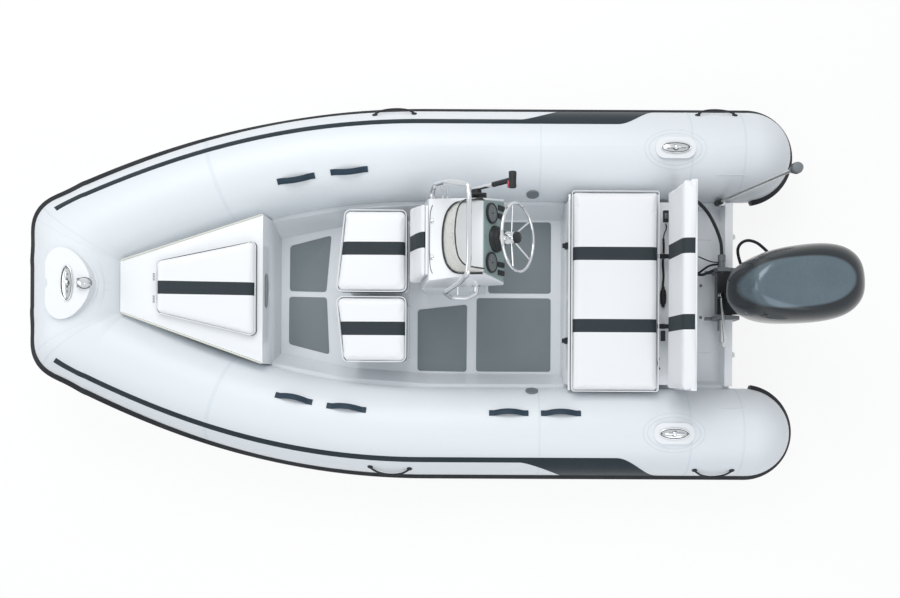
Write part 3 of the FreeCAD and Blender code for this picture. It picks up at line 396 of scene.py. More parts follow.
def build_weathering():
    """Slow shade changes and fine dust: a colour and a roughness that vary over the surface."""
    finer, strength = 17.0, 2.6
    group, entry, out = new_group(
        "weathering",
        [("Colour", "NodeSocketColor", (1, 1, 1, 1)), ("Dust", "NodeSocketColor", (0.6, 0.58, 0.54, 1)),
         ("Amount", "NodeSocketFloat", 0.1), ("Scale", "NodeSocketFloat", 4.0),
         ("Roughness", "NodeSocketFloat", 0.4), ("Spread", "NodeSocketFloat", 0.08)],
        [("Colour", "NodeSocketColor"), ("Roughness", "NodeSocketFloat")])
    given = entry.outputs
    place = object_place(group)
    slow = noise(group, place, given["Scale"], 2.0)
    fine = noise(group, place, times(group, given["Scale"], finer), 4.0, 0.65)
    mask = times(group, times(group, slow, fine), times(group, given["Amount"], strength), True)
    group.links.new(mixed(group, "RGBA", mask, given["Colour"], given["Dust"]), out.inputs["Colour"])
    swing = times(group, math_node(group, "SUBTRACT", fine, 0.5), given["Spread"])
    group.links.new(math_node(group, "ADD", given["Roughness"], swing, True), out.inputs["Roughness"])
    return group


def build_grain():
    """Pebbled grain of moulded rubber, coated cloth and gelcoat orange peel, as a height."""
    group, entry, out = new_group(
        "grain", [("Scale", "NodeSocketFloat", 600.0), ("Depth", "NodeSocketFloat", 1.0)],
        [("Height", "NodeSocketFloat")])
    place = object_place(group)
    cells = group.nodes.new("ShaderNodeTexVoronoi")
    group.links.new(place, cells.inputs["Vector"])
    group.links.new(entry.outputs["Scale"], cells.inputs["Scale"])
    fine = noise(group, place, entry.outputs["Scale"])
    total = math_node(group, "ADD", cells.outputs["Distance"], times(group, fine, 0.6))
    group.links.new(times(group, total, entry.outputs["Depth"]), out.inputs["Height"])
    return group


def build_weave():
    """A plain weave of crossed threads, as a height."""
    group, entry, out = new_group(
        "weave", [("Threads", "NodeSocketFloat", 900.0), ("Depth", "NodeSocketFloat", 1.0)],
        [("Height", "NodeSocketFloat")])
    waves = crossed_waves(group, object_place(group), entry.outputs["Threads"], 0.4)
    total = math_node(group, "MAXIMUM", waves[0], waves[1])
    group.links.new(times(group, total, entry.outputs["Depth"]), out.inputs["Height"])
    return group


def build_bands():
    """One where the surface lies inside bands across the boat, with the bands' edges sharp."""
    group, entry, out = new_group(
        "bands",
        [("First", "NodeSocketFloat", 0.0), ("Second", "NodeSocketFloat", 9.0),
         ("Half Width", "NodeSocketFloat", 0.03)],
        [("Mask", "NodeSocketFloat")])
    y = parted(group, object_place(group))["Y"]
    masks = []
    for label in ("First", "Second"):
        away = math_node(group, "ABSOLUTE", math_node(group, "SUBTRACT", y, entry.outputs[label]))
        masks.append(math_node(group, "LESS_THAN", away, entry.outputs["Half Width"]))
    group.links.new(math_node(group, "MAXIMUM", masks[0], masks[1]), out.inputs["Mask"])
    return group


def build_brushing():
    """Fine lines along one direction, as on drawn or brushed metal, as a height."""
    group, entry, out = new_group(
        "brushing", [("Stretch", "NodeSocketVector", (1, 1, 1)), ("Depth", "NodeSocketFloat", 1.0)],
        [("Height", "NodeSocketFloat")])
    scaled = group.nodes.new("ShaderNodeVectorMath")
    scaled.operation = "MULTIPLY"
    group.links.new(object_place(group), scaled.inputs[0])
    group.links.new(entry.outputs["Stretch"], scaled.inputs[1])
    lines = noise(group, scaled.outputs[0], 40.0, 4.0, 0.6)
    group.links.new(times(group, lines, entry.outputs["Depth"]), out.inputs["Height"])
    return group


weathering = build_weathering()
grain = build_grain()
weave = build_weave()
bands = build_bands()
brushing = build_brushing()

COAT_ROUGHNESS = 0.08


def use(material, group, **values):
    node = material.node_tree.nodes.new("ShaderNodeGroup")
    node.node_tree = group
    for label, value in values.items():
        node.inputs[label.replace("_", " ")].default_value = value
    return node


def worn(material, colour, dust_colour, dust, scale, roughness, drift):
    """The weathering's node, with a finish's own colour and roughness."""
    return use(material, weathering, Colour=(*colour, 1), Dust=(*dust_colour, 1), Amount=dust, Scale=scale,
               Roughness=roughness, Spread=drift)


def new_material(name):
    material = bpy.data.materials.new(name)
    material.use_nodes = True
    return material


def sockets_of(material):
    return material.node_tree.nodes["Principled BSDF"].inputs


def set_shader(material, **values):
    for label, value in values.items():
        sockets_of(material)[label.replace("_", " ")].default_value = value


def link_shader(material, label, value):
    material.node_tree.links.new(value, sockets_of(material)[label])


def apply_wear(material, wear):
    link_shader(material, "Base Color", wear.outputs["Colour"])
    link_shader(material, "Roughness", wear.outputs["Roughness"])


def bump(material, height, strength, distance):
    node = material.node_tree.nodes.new("ShaderNodeBump")
    node.inputs["Strength"].default_value = strength
    node.inputs["Distance"].default_value = distance
    material.node_tree.links.new(height, node.inputs["Height"])
    link_shader(material, "Normal", node.outputs["Normal"])


def surface(name, colour, roughness, dust=0.05, scale=3.0, metallic=0.0, coat=0.0,
            grain_scale=0.0, grain_depth=0.0002, sheen=0.0, gloss=0.5):
    """A finish whose colour and roughness drift over the surface, with its own grain."""
    material = new_material(name)
    dust_colour = [c * 0.55 + 0.16 for c in colour]
    apply_wear(material, worn(material, colour, dust_colour, dust, scale, roughness, 0.06))
    set_shader(material, Metallic=metallic, Coat_Weight=coat, Coat_Roughness=COAT_ROUGHNESS,
               Sheen_Weight=sheen, Specular_IOR_Level=gloss)
    if grain_scale:
        pebbles = use(material, grain, Scale=grain_scale, Depth=1.0)
        bump(material, pebbles.outputs["Height"], 0.35, grain_depth)
    return material


def rubber(name, colour, roughness, dust, scale):
    """Dull dark rubber or moulded plastic."""
    return surface(name, colour, roughness, dust, scale, grain_scale=900.0, gloss=0.16)


def polished(name, colour, roughness, stretch=None):
    material = new_material(name)
    apply_wear(material, worn(material, colour, (0.45, 0.45, 0.44), 0.05, 9.0, roughness, 0.10))
    set_shader(material, Metallic=1.0)
    if stretch:
        lines = use(material, brushing, Stretch=stretch, Depth=1.0)
        bump(material, lines.outputs["Height"], 0.15, 0.0001)
    return material


def vinyl(name, first, second=9.0, half=0.034):
    """White cushion cloth with dark sewn bands."""
    material = new_material(name)
    tree = material.node_tree
    white = worn(material, (0.815, 0.822, 0.836), (0.66, 0.68, 0.70), 0.05, 3.0, 0.42, 0.08)
    dark = worn(material, (0.011, 0.020, 0.026), (0.055, 0.068, 0.076), 0.10, 9.0, 0.72, 0.1)
    mask = use(material, bands, First=first, Second=second, Half_Width=half).outputs["Mask"]
    threads = use(material, weave, Threads=700.0, Depth=1.0)
    pebbles = use(material, grain, Scale=420.0, Depth=0.5)
    for label, kind, socket in (("Colour", "RGBA", "Base Color"), ("Roughness", "FLOAT", "Roughness")):
        link_shader(material, socket, mixed(tree, kind, mask, white.outputs[label], dark.outputs[label]))
    inside = times(tree, threads.outputs["Height"], mask)
    raised = math_node(tree, "ADD", inside, times(tree, mask, 3.0))
    bump(material, math_node(tree, "ADD", raised, pebbles.outputs["Height"]), 0.4, 0.0003)
    return material


# Finishes

gelcoat = surface("gelcoat", (0.83, 0.85, 0.87), 0.22, coat=0.35, scale=2.0, grain_scale=90.0,
                  grain_depth=0.00008)
liner_paint = surface("liner_gelcoat", (0.72, 0.75, 0.775), 0.35, dust=0.10, coat=0.15, grain_scale=240.0,
                      grain_depth=0.00012)
tube_cloth = surface("tube_cloth", (0.735, 0.772, 0.802), 0.42, dust=0.06, scale=1.6, grain_scale=750.0,
                     grain_depth=0.00012, sheen=0.05)
seam_tape = surface("seam_tape", (0.69, 0.74, 0.78), 0.50, dust=0.10, scale=6.0, grain_scale=750.0,
                    grain_depth=0.00012)
black_rubber = rubber("black_rubber", (0.008, 0.010, 0.014), 0.42, 0.16, 7.0)
stripe_rubber = rubber("stripe_rubber", (0.014, 0.026, 0.034), 0.45, 0.08, 5.0)
handle_rubber = rubber("handle_rubber", (0.020, 0.040, 0.062), 0.48, 0.10, 12.0)
white_rubber = surface("white_rubber", (0.80, 0.82, 0.84), 0.40, dust=0.06, scale=6.0, grain_scale=600.0)
hinge_plastic = surface("grey_plastic", (0.17, 0.19, 0.20), 0.45, dust=0.1, scale=12.0, grain_scale=900.0)
black_plastic = surface("black_plastic", (0.022, 0.025, 0.027), 0.38, dust=0.12, scale=14.0,
                        grain_scale=1100.0, gloss=0.16)
red_plastic = surface("red_plastic", (0.42, 0.02, 0.03), 0.35, dust=0.06, scale=20.0)
chrome = polished("chrome", (0.72, 0.73, 0.74), 0.07)
stainless = polished("stainless", (0.62, 0.63, 0.62), 0.16, (1.0, 14.0, 14.0))
dark_steel = polished("dark_steel", (0.22, 0.23, 0.24), 0.35)
dash_plastic = surface("dash_plastic", (0.27, 0.36, 0.355), 0.38, dust=0.10, scale=10.0, grain_scale=1200.0)
gauge_face = surface("gauge_face", (0.13, 0.15, 0.15), 0.4, dust=0.1, scale=40.0)
gauge_mark = surface("gauge_mark", (0.30, 0.32, 0.31), 0.5, scale=40.0)
engine_grey = surface("engine_grey", (0.16, 0.18, 0.195), 0.45, dust=0.14, scale=9.0, grain_scale=500.0,
                      metallic=0.2)
engine_black = surface("engine_black", (0.016, 0.018, 0.021), 0.34, dust=0.10, scale=7.0, coat=0.10,
                       grain_scale=400.0, grain_depth=0.00006, gloss=0.25)
cream_seal = surface("cream_seal", (0.66, 0.67, 0.60), 0.6, dust=0.12, scale=9.0, grain_scale=500.0)
cast_block = surface("cast_block", (0.10, 0.10, 0.11), 0.6, dust=0.2, scale=14.0, metallic=0.4,
                     grain_scale=300.0)
piping = surface("piping", (0.78, 0.80, 0.82), 0.5, dust=0.06, scale=9.0, grain_scale=800.0)


def make_pad_finish():
    """Grey non-skid sheet with a fine diamond emboss and a slight bloom."""
    material = new_material("slate_pad")
    tree = material.node_tree
    apply_wear(material, worn(material, (0.172, 0.205, 0.216), (0.24, 0.27, 0.28), 0.22, 5.0, 0.62, 0.1))
    turned = tree.nodes.new("ShaderNodeMapping")
    turned.inputs["Rotation"].default_value = (0, 0, math.radians(45))
    tree.links.new(object_place(tree), turned.inputs["Vector"])
    waves = crossed_waves(tree, turned.outputs[0], 60.0)
    bump(material, times(tree, waves[0], waves[1]), 0.5, 0.0006)
    return material


def make_screen_finish():
    """Clear acrylic with a faint warm tint."""
    material = new_material("clear_acrylic")
    apply_wear(material, worn(material, (0.80, 0.78, 0.70), (0.74, 0.73, 0.68), 0.10, 8.0, 0.08, 0.05))
    set_shader(material, Alpha=0.34)
    return material


def make_cowl_finish():
    """Cowl paint: a blue-grey metallic panel on the top, near black round it."""
    centre_back, half_long, half_wide = 0.072, 0.266, 0.123
    material = new_material("engine_cowl")
    tree = material.node_tree
    turned = tree.nodes.new("ShaderNodeMapping")
    turn = Matrix.Rotation(-ENGINE_TURN, 3, "Z")
    turned.inputs["Location"].default_value = -(turn @ Vector((STEER_X, 0, 0)))
    turned.inputs["Rotation"].default_value = (0, 0, -ENGINE_TURN)
    tree.links.new(object_place(tree), turned.inputs["Vector"])
    place = parted(tree, turned.outputs[0])
    along = math_node(tree, "DIVIDE", math_node(tree, "ADD", place["X"], centre_back), half_long)
    across = math_node(tree, "DIVIDE", place["Y"], half_wide)
    powers = [math_node(tree, "POWER", math_node(tree, "ABSOLUTE", value), power)
              for value, power in ((along, 2.8), (across, 2.0))]
    inside = ramp(tree, math_node(tree, "ADD", powers[0], powers[1]), 1.03, 0.86)
    mask = times(tree, inside, ramp(tree, place["Z"], 0.76, 0.78))
    black = worn(material, (0.020, 0.025, 0.028), (0.06, 0.07, 0.075), 0.10, 6.0, 0.24, 0.06)
    blue = worn(material, (0.092, 0.130, 0.155), (0.20, 0.25, 0.28), 0.30, 5.0, 0.22, 0.08)
    colour = mixed(tree, "RGBA", mask, black.outputs["Colour"], blue.outputs["Colour"])
    link_shader(material, "Base Color", colour)
    link_shader(material, "Roughness", black.outputs["Roughness"])
    set_shader(material, Metallic=0.30, Specular_IOR_Level=0.3, Coat_Weight=0.35,
               Coat_Roughness=COAT_ROUGHNESS)
    return material


slate_pad = make_pad_finish()
clear_acrylic = make_screen_finish()
cowl_paint = make_cowl_finish()

node_finish = {
    gelcoat: "hull bow_locker console_seat_box port_seat_box console bench_box console_hatch",
    liner_paint: "deck_liner cockpit_floor",
    tube_cloth: "tube_port tube_starboard tube_bow",
    black_rubber: "rub_strake outer_handles",
    handle_rubber: "inner_handles",
    white_rubber: "bow_step_pad cleat_pads",
    hinge_plastic: "inflation_valves",
    black_plastic: "throttle_control",
    chrome: "cleats bow_light",
    stainless: "tow_eyes console_rail stern_light steering_wheel steering_rod drag_link",
    slate_pad: "floor_pads",
    dash_plastic: "dash",
    clear_acrylic: "windscreen",
    engine_grey: "clamp_bracket",
    engine_black: "swivel_bracket engine_leg propeller",
    cowl_paint: "engine_cowl",
    cast_block: "power_head",
}
for material, names in node_finish.items():
    for name in names.split():
        paint(nodes[name], material)


# The collar's skin

STRIPE_MID, STRIPE_HALF, STRAKE_EDGE = 54.5, 4.1, 8.2
STRIPE_TURN = 12
SWOOSH_GAP, SWOOSH_DROP = (-0.520, -0.750), (-1.030, -1.285)
RIB_LIFT, RIB_R, STRAKE_SKIN = 0.0085, 0.0022, 0.0006
SKIN_SINK = -0.0004


def station(s):
    """Tube centre and outward direction on the port side: s below 0 is X on the straight side,
    0 to 1 the curve, 1 to 2 the bow corner, 2 to 3 the front as far as the centreline."""
    if s <= 0:
        return Vector((s, SIDE_Y, TUBE_Z)), ACROSS.copy()
    turn = BOW_ANGLE
    corner_r = TUBE_R + PIVOT_GAP
    pivot = Vector((BOW_X - corner_r, FRONT_HALF, 0))
    if s <= 1:
        end = pivot + Vector((math.sin(turn), math.cos(turn), 0)) * corner_r
        p = [Vector((0, SIDE_Y, 0)), Vector((SIDE_HANDLE, SIDE_Y, 0)),
             end - Vector((math.cos(turn), -math.sin(turn), 0)) * BOW_HANDLE, end]
        r = 1 - s
        at = p[0] * r ** 3 + p[1] * (3 * r * r * s) + p[2] * (3 * r * s * s) + p[3] * s ** 3
        along = (p[1] - p[0]) * (r * r) + (p[2] - p[1]) * (2 * r * s) + (p[3] - p[2]) * (s * s)
        across = Vector((-along.y, along.x, 0)).normalized()
    elif s <= 2:
        angle = turn + (math.pi / 2 - turn) * (s - 1)
        across = Vector((math.sin(angle), math.cos(angle), 0))
        at = pivot + across * corner_r
    else:
        across = Vector((1, 0, 0))
        at = Vector((BOW_X, FRONT_HALF * (3 - s), 0))
    at.z = TUBE_Z + BOW_RISE * max(0.0, at.x / RISE_RUN) ** 2
    return at, across


def collar_tree():
    work = bmesh.new()
    for name in ("tube_port", "tube_bow", "tube_starboard"):
        work.from_mesh(nodes[name].data)
    tree = BVHTree.FromBMesh(work)
    work.free()
    return tree


tube_skin = collar_tree()


def on_skin(s, angle, out=0.0):
    """A point on the port side of the collar: angle in degrees up from outboard."""
    centre, across = station(s)
    ray = across * math.cos(math.radians(angle)) + UP * math.sin(math.radians(angle))
    hit = tube_skin.ray_cast(centre, ray)[0]
    distance = (hit - centre).length if hit else TUBE_R
    return centre + ray * (distance + out)


def dropped(x, y, out=0.0):
    """A point on the collar straight below a plan position."""
    hit, normal = tube_skin.ray_cast(Vector((x, y, 2.0)), -UP)[:2]
    return hit + (normal if normal.z > 0 else -normal) * out


def at_x(x):
    """The collar's station at a length along the boat."""
    if x <= 0:
        return x
    low, high = 0.0, 1.0
    for step in range(30):
        middle = (low + high) / 2
        low, high = (middle, high) if station(middle)[0].x < x else (low, middle)
    return (low + high) / 2


def mirrored(point, side):
    return Vector((point.x, point.y * side, point.z))


def skin_sheet(name, places, low, high, out, material, rows):
    """A thin strip on both sides of the collar, between two angles that may change along it."""
    points, faces = [], []
    levels = [(0.0, SKIN_SINK)] + [(i / (rows - 1), out) for i in range(rows)] + [(1.0, SKIN_SINK)]
    for s in places:
        a, b = low(s), high(s)
        points += [on_skin(s, a + (b - a) * share, lift) for share, lift in levels]
    count = len(levels)
    last = (len(places) - 1) * count
    for row in range(0, last, count):
        faces += [(k, k + 1, k + count + 1, k + count) for k in range(row, row + count - 1)]
    faces += [tuple(range(count))[::-1], tuple(range(last, last + count))]
    piece = mesh_from(name, points, faces, material)
    flipped = mesh_from(name + "_s", [(p.x, -p.y, p.z) for p in points], faces, material)
    return shade(joined(name, [piece, flipped]), 50.0)


def between(first, last, share):
    """An angle whose cosine lies so far from the first angle's to the last one's."""
    start, end = math.cos(math.radians(first)), math.cos(math.radians(last))
    return math.degrees(math.acos(start + (end - start) * share))


def stripe_low(s):
    edge = STRIPE_MID - STRIPE_HALF - max(0.0, s - 1) * STRIPE_TURN
    return between(edge, STRAKE_EDGE, share_of(s, *SWOOSH_GAP) ** 1.35)


def stripe_high(s):
    top = STRIPE_MID + STRIPE_HALF - max(0.0, s - 1) * STRIPE_TURN
    return between(top, STRAKE_EDGE + 0.3, eased(share_of(s, *SWOOSH_DROP)))


def make_tube_stripes():
    places = spread(SWOOSH_DROP[1], SWOOSH_GAP[0], 90) + spread(SWOOSH_GAP[0], 0.0, 8)[1:]
    places += spread(0.0, 1.0, 36)[1:] + spread(1.0, 1.36, 8)[1:]
    stripes = skin_sheet("tube_stripes", places, stripe_low, stripe_high, 0.0012, stripe_rubber, 10)
    fit(stripes, "boat")


def make_seam_tapes():
    """Overlapped seams of the collar: the bow mitres, the chamber joints and the stern cones."""
    tapes = [(1.44, 0.010, 18, 176), (1.56, 0.005, 18, 176), (0.625, 0.006, 12, 190),
             (-0.62, 0.006, 12, 195), (-1.42, 0.006, 12, 195), (-1.70, 0.006, 12, 190)]
    pieces = []
    for s, half, low, high in tapes:
        places = [s - half, s - half * 0.33, s + half * 0.33, s + half]
        pieces.append(skin_sheet("tape", places, lambda s, a=low: a, lambda s, b=high: b, 0.0005,
                                 seam_tape, 40))
    fit(joined("seam_tapes", pieces), "boat")


def strake_face(s, lift):
    """A point on the rubbing strake's face, so far over its middle line."""
    centre, across = station(s)
    height = STRAKE_RISE * eased(share_of(centre.x, STRAKE_LEVEL_X, BOW_X))
    hit = tube_skin.ray_cast(centre + UP * height, across)[0]
    tilt = math.asin(height / TUBE_R)
    out = across * math.cos(tilt) + UP * math.sin(tilt)
    rise = UP * math.cos(tilt) - across * math.sin(tilt)
    return hit + out * (STRAKE_PROUD + STRAKE_SKIN) + rise * lift


def make_strake_ribs():
    """Two fine ridges along the rubbing strake's face, round both sterns too."""
    places = spread(DOME_X + 0.01, 0.0, 40) + spread(0.0, 1.0, 60)[1:] + spread(1.0, 2.0, 40)[1:]
    places += spread(2.0, 3.0, 6)[1:]
    reach = TUBE_R + STRAKE_PROUD + STRAKE_SKIN
    pieces = []
    for lift in (-RIB_LIFT, RIB_LIFT):
        line = [Vector((DOME_X - math.sin(a) * reach, SIDE_Y + math.cos(a) * reach, TUBE_Z + lift))
                for a in spread(DOME_WRAP - 0.02, 0.02, 30)]
        line += [strake_face(s, lift) for s in places]
        line += [mirrored(point, -1) for point in line[-2::-1]]
        pieces.append(tube_along("rib", line, RIB_R, black_rubber, sides=8))
    fit(joined("strake_ribs", pieces), "boat")


# Cushions

CLOTH_STEPS, CLOTH_PRESSURE, SKIN_VOXEL = 14, 4.0, 0.009
PIPING_R, PIPING_IN, PIPING_DROP = 0.0028, 0.0035, 0.010
# The thin black tube round each cushion's foot is painted shade: it stands for the shadow in the gap between
# the cushion and its box.
GAP_SHADE_R, GAP_SHADE_IN, GAP_SHADE_UP = 0.0019, 0.0030, 0.0040
CUSHION_EDGE, CUSHION_FILL = 0.012, 0.85


def stuffed(piece, cap):
    """Swells a closed shape with a short cloth simulation, no point further than the cap."""
    remesh = piece.modifiers.new("skin", "REMESH")
    remesh.mode = "VOXEL"
    remesh.voxel_size = SKIN_VOXEL
    remesh.use_smooth_shade = True
    piece = baked(piece)
    rest = [vertex.co.copy() for vertex in piece.data.vertices]
    floor = min(point.z for point in rest)
    cloth = piece.modifiers.new("fill", "CLOTH")
    cloth.settings.quality = 3
    cloth.settings.use_pressure = True
    cloth.settings.uniform_pressure_force = CLOTH_PRESSURE
    cloth.settings.effector_weights.gravity = 0.0
    cloth.collision_settings.use_collision = False
    for step in range(1, CLOTH_STEPS + 1):
        bpy.context.scene.frame_set(step)
    piece = baked(piece)
    for vertex, start in zip(piece.data.vertices, rest):
        move = vertex.co - start
        if move.length > cap:
            vertex.co = start + move.normalized() * cap
        vertex.co.z = max(vertex.co.z, floor)
    bpy.context.scene.frame_set(1)
    finer = piece.modifiers.new("finer", "SUBSURF")
    finer.levels = finer.render_levels = 1
    piece = baked(piece)
    set_smooth(piece)
    return piece


def welt(name, outline, height, slope, radius, material):
    """Piping round a cushion's edge: a plan outline, its height at X of nought and its slope."""
    points = [Vector((x, y, height + slope * x)) for x, y in outline]
    return tube_along(name, points, radius, material, sides=8, closed=True)


def make_cushion(node, body, outline, radius, low, high, material, cap, slope=0.0, level_x=0.0):
    """A crowned cushion in place of a lid's solid, with piping round its top edge and a thin black tube round
    its foot that is painted shade of the gap below the cushion.
    """
    trim = cap * 0.45
    shape = soft_corners(outline, radius)
    piece = prism(node + "_cushion", inset(shape, trim), low, high - trim, material, CUSHION_EDGE, 3)
    for vertex in piece.data.vertices:
        vertex.co.z += slope * (vertex.co.x - level_x)
    piece = stuffed(piece, cap)
    paint(piece, material)
    base = -slope * level_x
    top = welt(node + "_welt", inset(shape, PIPING_IN), base + high - PIPING_DROP, slope, PIPING_R, piping)
    # Painted shade: a thin black tube round the cushion's foot, standing for the shadow in the gap to its
    # box.
    seal = welt(node + "_seal", inset(shape, GAP_SHADE_IN), base + low + GAP_SHADE_UP, slope, GAP_SHADE_R, black_rubber)
    whole = joined(node + "_pad", [piece, top, seal])
    fit(whole, body)
    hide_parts(node)


def seat_plan(inner, outer):
    fore = SEAT_FORE_X - SEAT_RAKE * (abs(outer) - abs(inner)) / SEAT_REACH
    return [(SEAT_AFT_X, inner), (SEAT_FORE_X, inner), (fore, outer), (SEAT_AFT_X, outer)]


def locker_top(x):
    return LOCKER_AFT_Z + LOCKER_SLOPE * (x - LOCKER_AFT_X)


def make_cushions():
    low = SEAT_BOX_TOP + SEAT_GAP
    make_cushion("console_seat_lid", "console_seat", seat_plan(0.010, -0.430), 0.034, low, SEAT_TOP,
                 vinyl("console_seat_vinyl", -0.221, half=0.035), 0.008)
    make_cushion("port_seat_lid", "port_seat", seat_plan(0.032, 0.384), 0.034, low, SEAT_TOP,
                 vinyl("port_seat_vinyl", 0.204, half=0.036), 0.008)
    bench = [(BENCH_AFT_X, -BENCH_HALF), (BENCH_FORE_X, -BENCH_HALF), (BENCH_FORE_X, BENCH_HALF),
             (BENCH_AFT_X, BENCH_HALF)]
    make_cushion("bench_lid", "bench_seat", bench, 0.018, low, BENCH_TOP,
                 vinyl("bench_vinyl", -0.198, 0.184, 0.035), 0.009)
    lid = [(LID_AFT_X, -LID_AFT_HALF), (LID_AFT_X, LID_AFT_HALF), (LID_FORE_X, LID_FORE_HALF),
           (LID_FORE_X, -LID_FORE_HALF)]
    low = locker_top(LID_AFT_X) + SEAT_GAP
    make_cushion("bow_locker_lid", "bow_lid", lid, 0.028, low, low + LID_T,
                 vinyl("bow_lid_vinyl", 0.005), 0.006, LOCKER_SLOPE, LID_AFT_X)


def upright_pad(node, body, profile, halves, centre_y, material, cap, edge):
    """A backrest cushion from its side profile of (x, z) points and their half widths."""
    count = len(profile)
    points = [Vector((x, centre_y + side * half, z))
              for side in SIDES for (x, z), half in zip(profile, halves)]
    faces = [tuple(range(count)), tuple(range(count, 2 * count))[::-1]] + rim_faces(count)
    piece = mesh_from(node + "_pad", points, faces, material, smooth=False)
    piece = stuffed(bevelled(piece, edge, 3, 40.0), cap)
    paint(piece, material)
    fit(piece, body)
    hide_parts(node)


def make_backrests():
    """The bench's backrest, and the console's on its front hatch: how far below the brow, how far out."""
    trim = 0.004
    face, rear = BACK_X - BACK_PAD + 0.0005, BACK_REAR_X + trim
    low, top, hood = BACK_LOW + trim, BACK_TOP - trim, BACK_TOP - BACK_HOOD + 0.0006
    profile = [(face, low), (BACK_X - trim, low), (BACK_X - BACK_LEAN - trim, top), (rear, top),
               (rear, hood), (face, hood)]
    upright_pad("bench_backrest", "boat", profile, [BACK_HALF - trim] * len(profile), 0.0,
                vinyl("backrest_vinyl", -0.194, 0.181, 0.038), 0.007, 0.010)
    spots = [(0.012, 0.0155), (0.226, 0.0155), (0.220, 0.0725), (0.086, 0.0495), (0.014, 0.0285)]
    front = Vector((FRONT_UP.z, 0, -FRONT_UP.x))
    profile = [BROW - FRONT_UP * below + front * out for below, out in spots]
    upright_pad("console_backrest", "hatch", [(point.x, point.z) for point in profile],
                [0.180 + 0.08 * below for below, out in spots], CONSOLE_Y,
                vinyl("console_back_vinyl", -0.228, half=0.040), 0.004, 0.008)


# Console

PANEL_TOP, PANEL_FOOT, PANEL_T = 0.006, 0.207, 0.0042
KEY_ROWS, KEY_COLUMNS = (0.1575, 0.1885), (-0.162, -0.121, 0.121, 0.162)
GAUGE_Y, TICKS, TICK_STEP, TICK_START, NEEDLE_TURN = 0.121, 13, 22.5, -135, 0.9
SPOKES, SPOKE_STEP, SPOKE_START = 5, 72.0, -17.0


def console_top(x):
    return BROW.z + CONSOLE_SLOPE * (BROW.x - x)


def on_dash(distance, out, y=0.0):
    """A point on the dash: so far down from its top edge, so far out."""
    return DASH_TOP + DASH_DOWN * distance + DASH_OUT * out + Vector((0, CONSOLE_Y + y, 0))


def dash_turn(angle):
    """A direction on the dash, turned from across the boat to down the dash."""
    return ACROSS * math.cos(angle) + DASH_DOWN * math.sin(angle)


def on_dash_lathe(name, profile, origin, material, steps):
    return lathe(name, profile, origin, DASH_OUT, material, steps)


def dash_block(s, y, long, wide, low, high, lean=0.0):
    """A moulded key on the dash, from one height to another, its top tilted by the lean."""
    points = []
    for level, tip in ((low, 0.0), (high, lean)):
        for i, j in ((-1, -1), (1, -1), (1, 1), (-1, 1)):
            points.append(on_dash(s, level + i * tip, y) + DASH_DOWN * (i * long) + ACROSS * (j * wide))
    return bevelled(mesh_from("key", points, BOX_FACES, black_plastic, smooth=False), 0.0012)


def thin_bar(name, start, end, half):
    """A small flat bar that lies on the dash."""
    wide = (end - start).normalized().cross(DASH_OUT).normalized() * half
    points = [start - wide, start + wide, end + wide, end - wide]
    points += [p + DASH_OUT * half for p in points]
    return mesh_from(name, points, BOX_FACES, gauge_mark, smooth=False)


def gauge(y):
    """A dial: bezel, face, ticks, needle and pivot."""
    base = on_dash(GAUGE_S, 0.0035, y)
    rim = [(0.0515, 0.0), (0.0515, 0.0105), (0.0495, 0.0125), (0.0455, 0.0128), (0.0425, 0.0110),
           (0.0420, 0.0100)]
    pieces = [shade(on_dash_lathe("bezel", rim, base, black_plastic, 48))]
    glass = [(0.0425, 0.0), (0.0425, 0.0104), (0.0400, 0.0106)]
    pieces.append(on_dash_lathe("face", glass, base, gauge_face, 48))
    lifted = base + DASH_OUT * 0.0112
    for tick in range(TICKS):
        out = dash_turn(math.radians(TICK_START + TICK_STEP * tick) - math.pi / 2)
        first = 0.031 if tick % 2 else 0.028
        pieces.append(thin_bar("tick", lifted + out * first, lifted + out * 0.036, 0.0008))
    needle = dash_turn(-math.pi / 2 - NEEDLE_TURN)
    pieces.append(thin_bar("needle", lifted - needle * 0.004, lifted + needle * 0.026, 0.0011))
    pivot = [(0.0038, 0.0), (0.0038, 0.0024), (0.0025, 0.0032)]
    pieces.append(on_dash_lathe("pivot", pivot, lifted, black_plastic, 16))
    return pieces


def make_dash():
    """Dash panel with its two dials and eight rocker switches."""
    top, foot = CONSOLE_TOP_HALF - 0.008, CONSOLE_HALF - 0.012
    corners = [on_dash(s, 0.0003, y) for s, y in
               ((PANEL_TOP, -top), (PANEL_TOP, top), (PANEL_FOOT, foot), (PANEL_FOOT, -foot))]
    corners += [p + DASH_OUT * PANEL_T for p in corners]
    pieces = [bevelled(mesh_from("panel", corners, BOX_FACES, dash_plastic, smooth=False), 0.0016, 3)]
    pieces += gauge(-GAUGE_Y) + gauge(GAUGE_Y)
    for s in KEY_ROWS:
        for y in KEY_COLUMNS:
            pieces.append(dash_block(s, y, 0.0145, 0.0130, 0.0035, 0.0105))
            pieces.append(dash_block(s, y, 0.0110, 0.0093, 0.0100, 0.0128, lean=0.0018))
    panel = joined("dash_panel", pieces)
    fit(panel, "boat")
    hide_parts("dash")


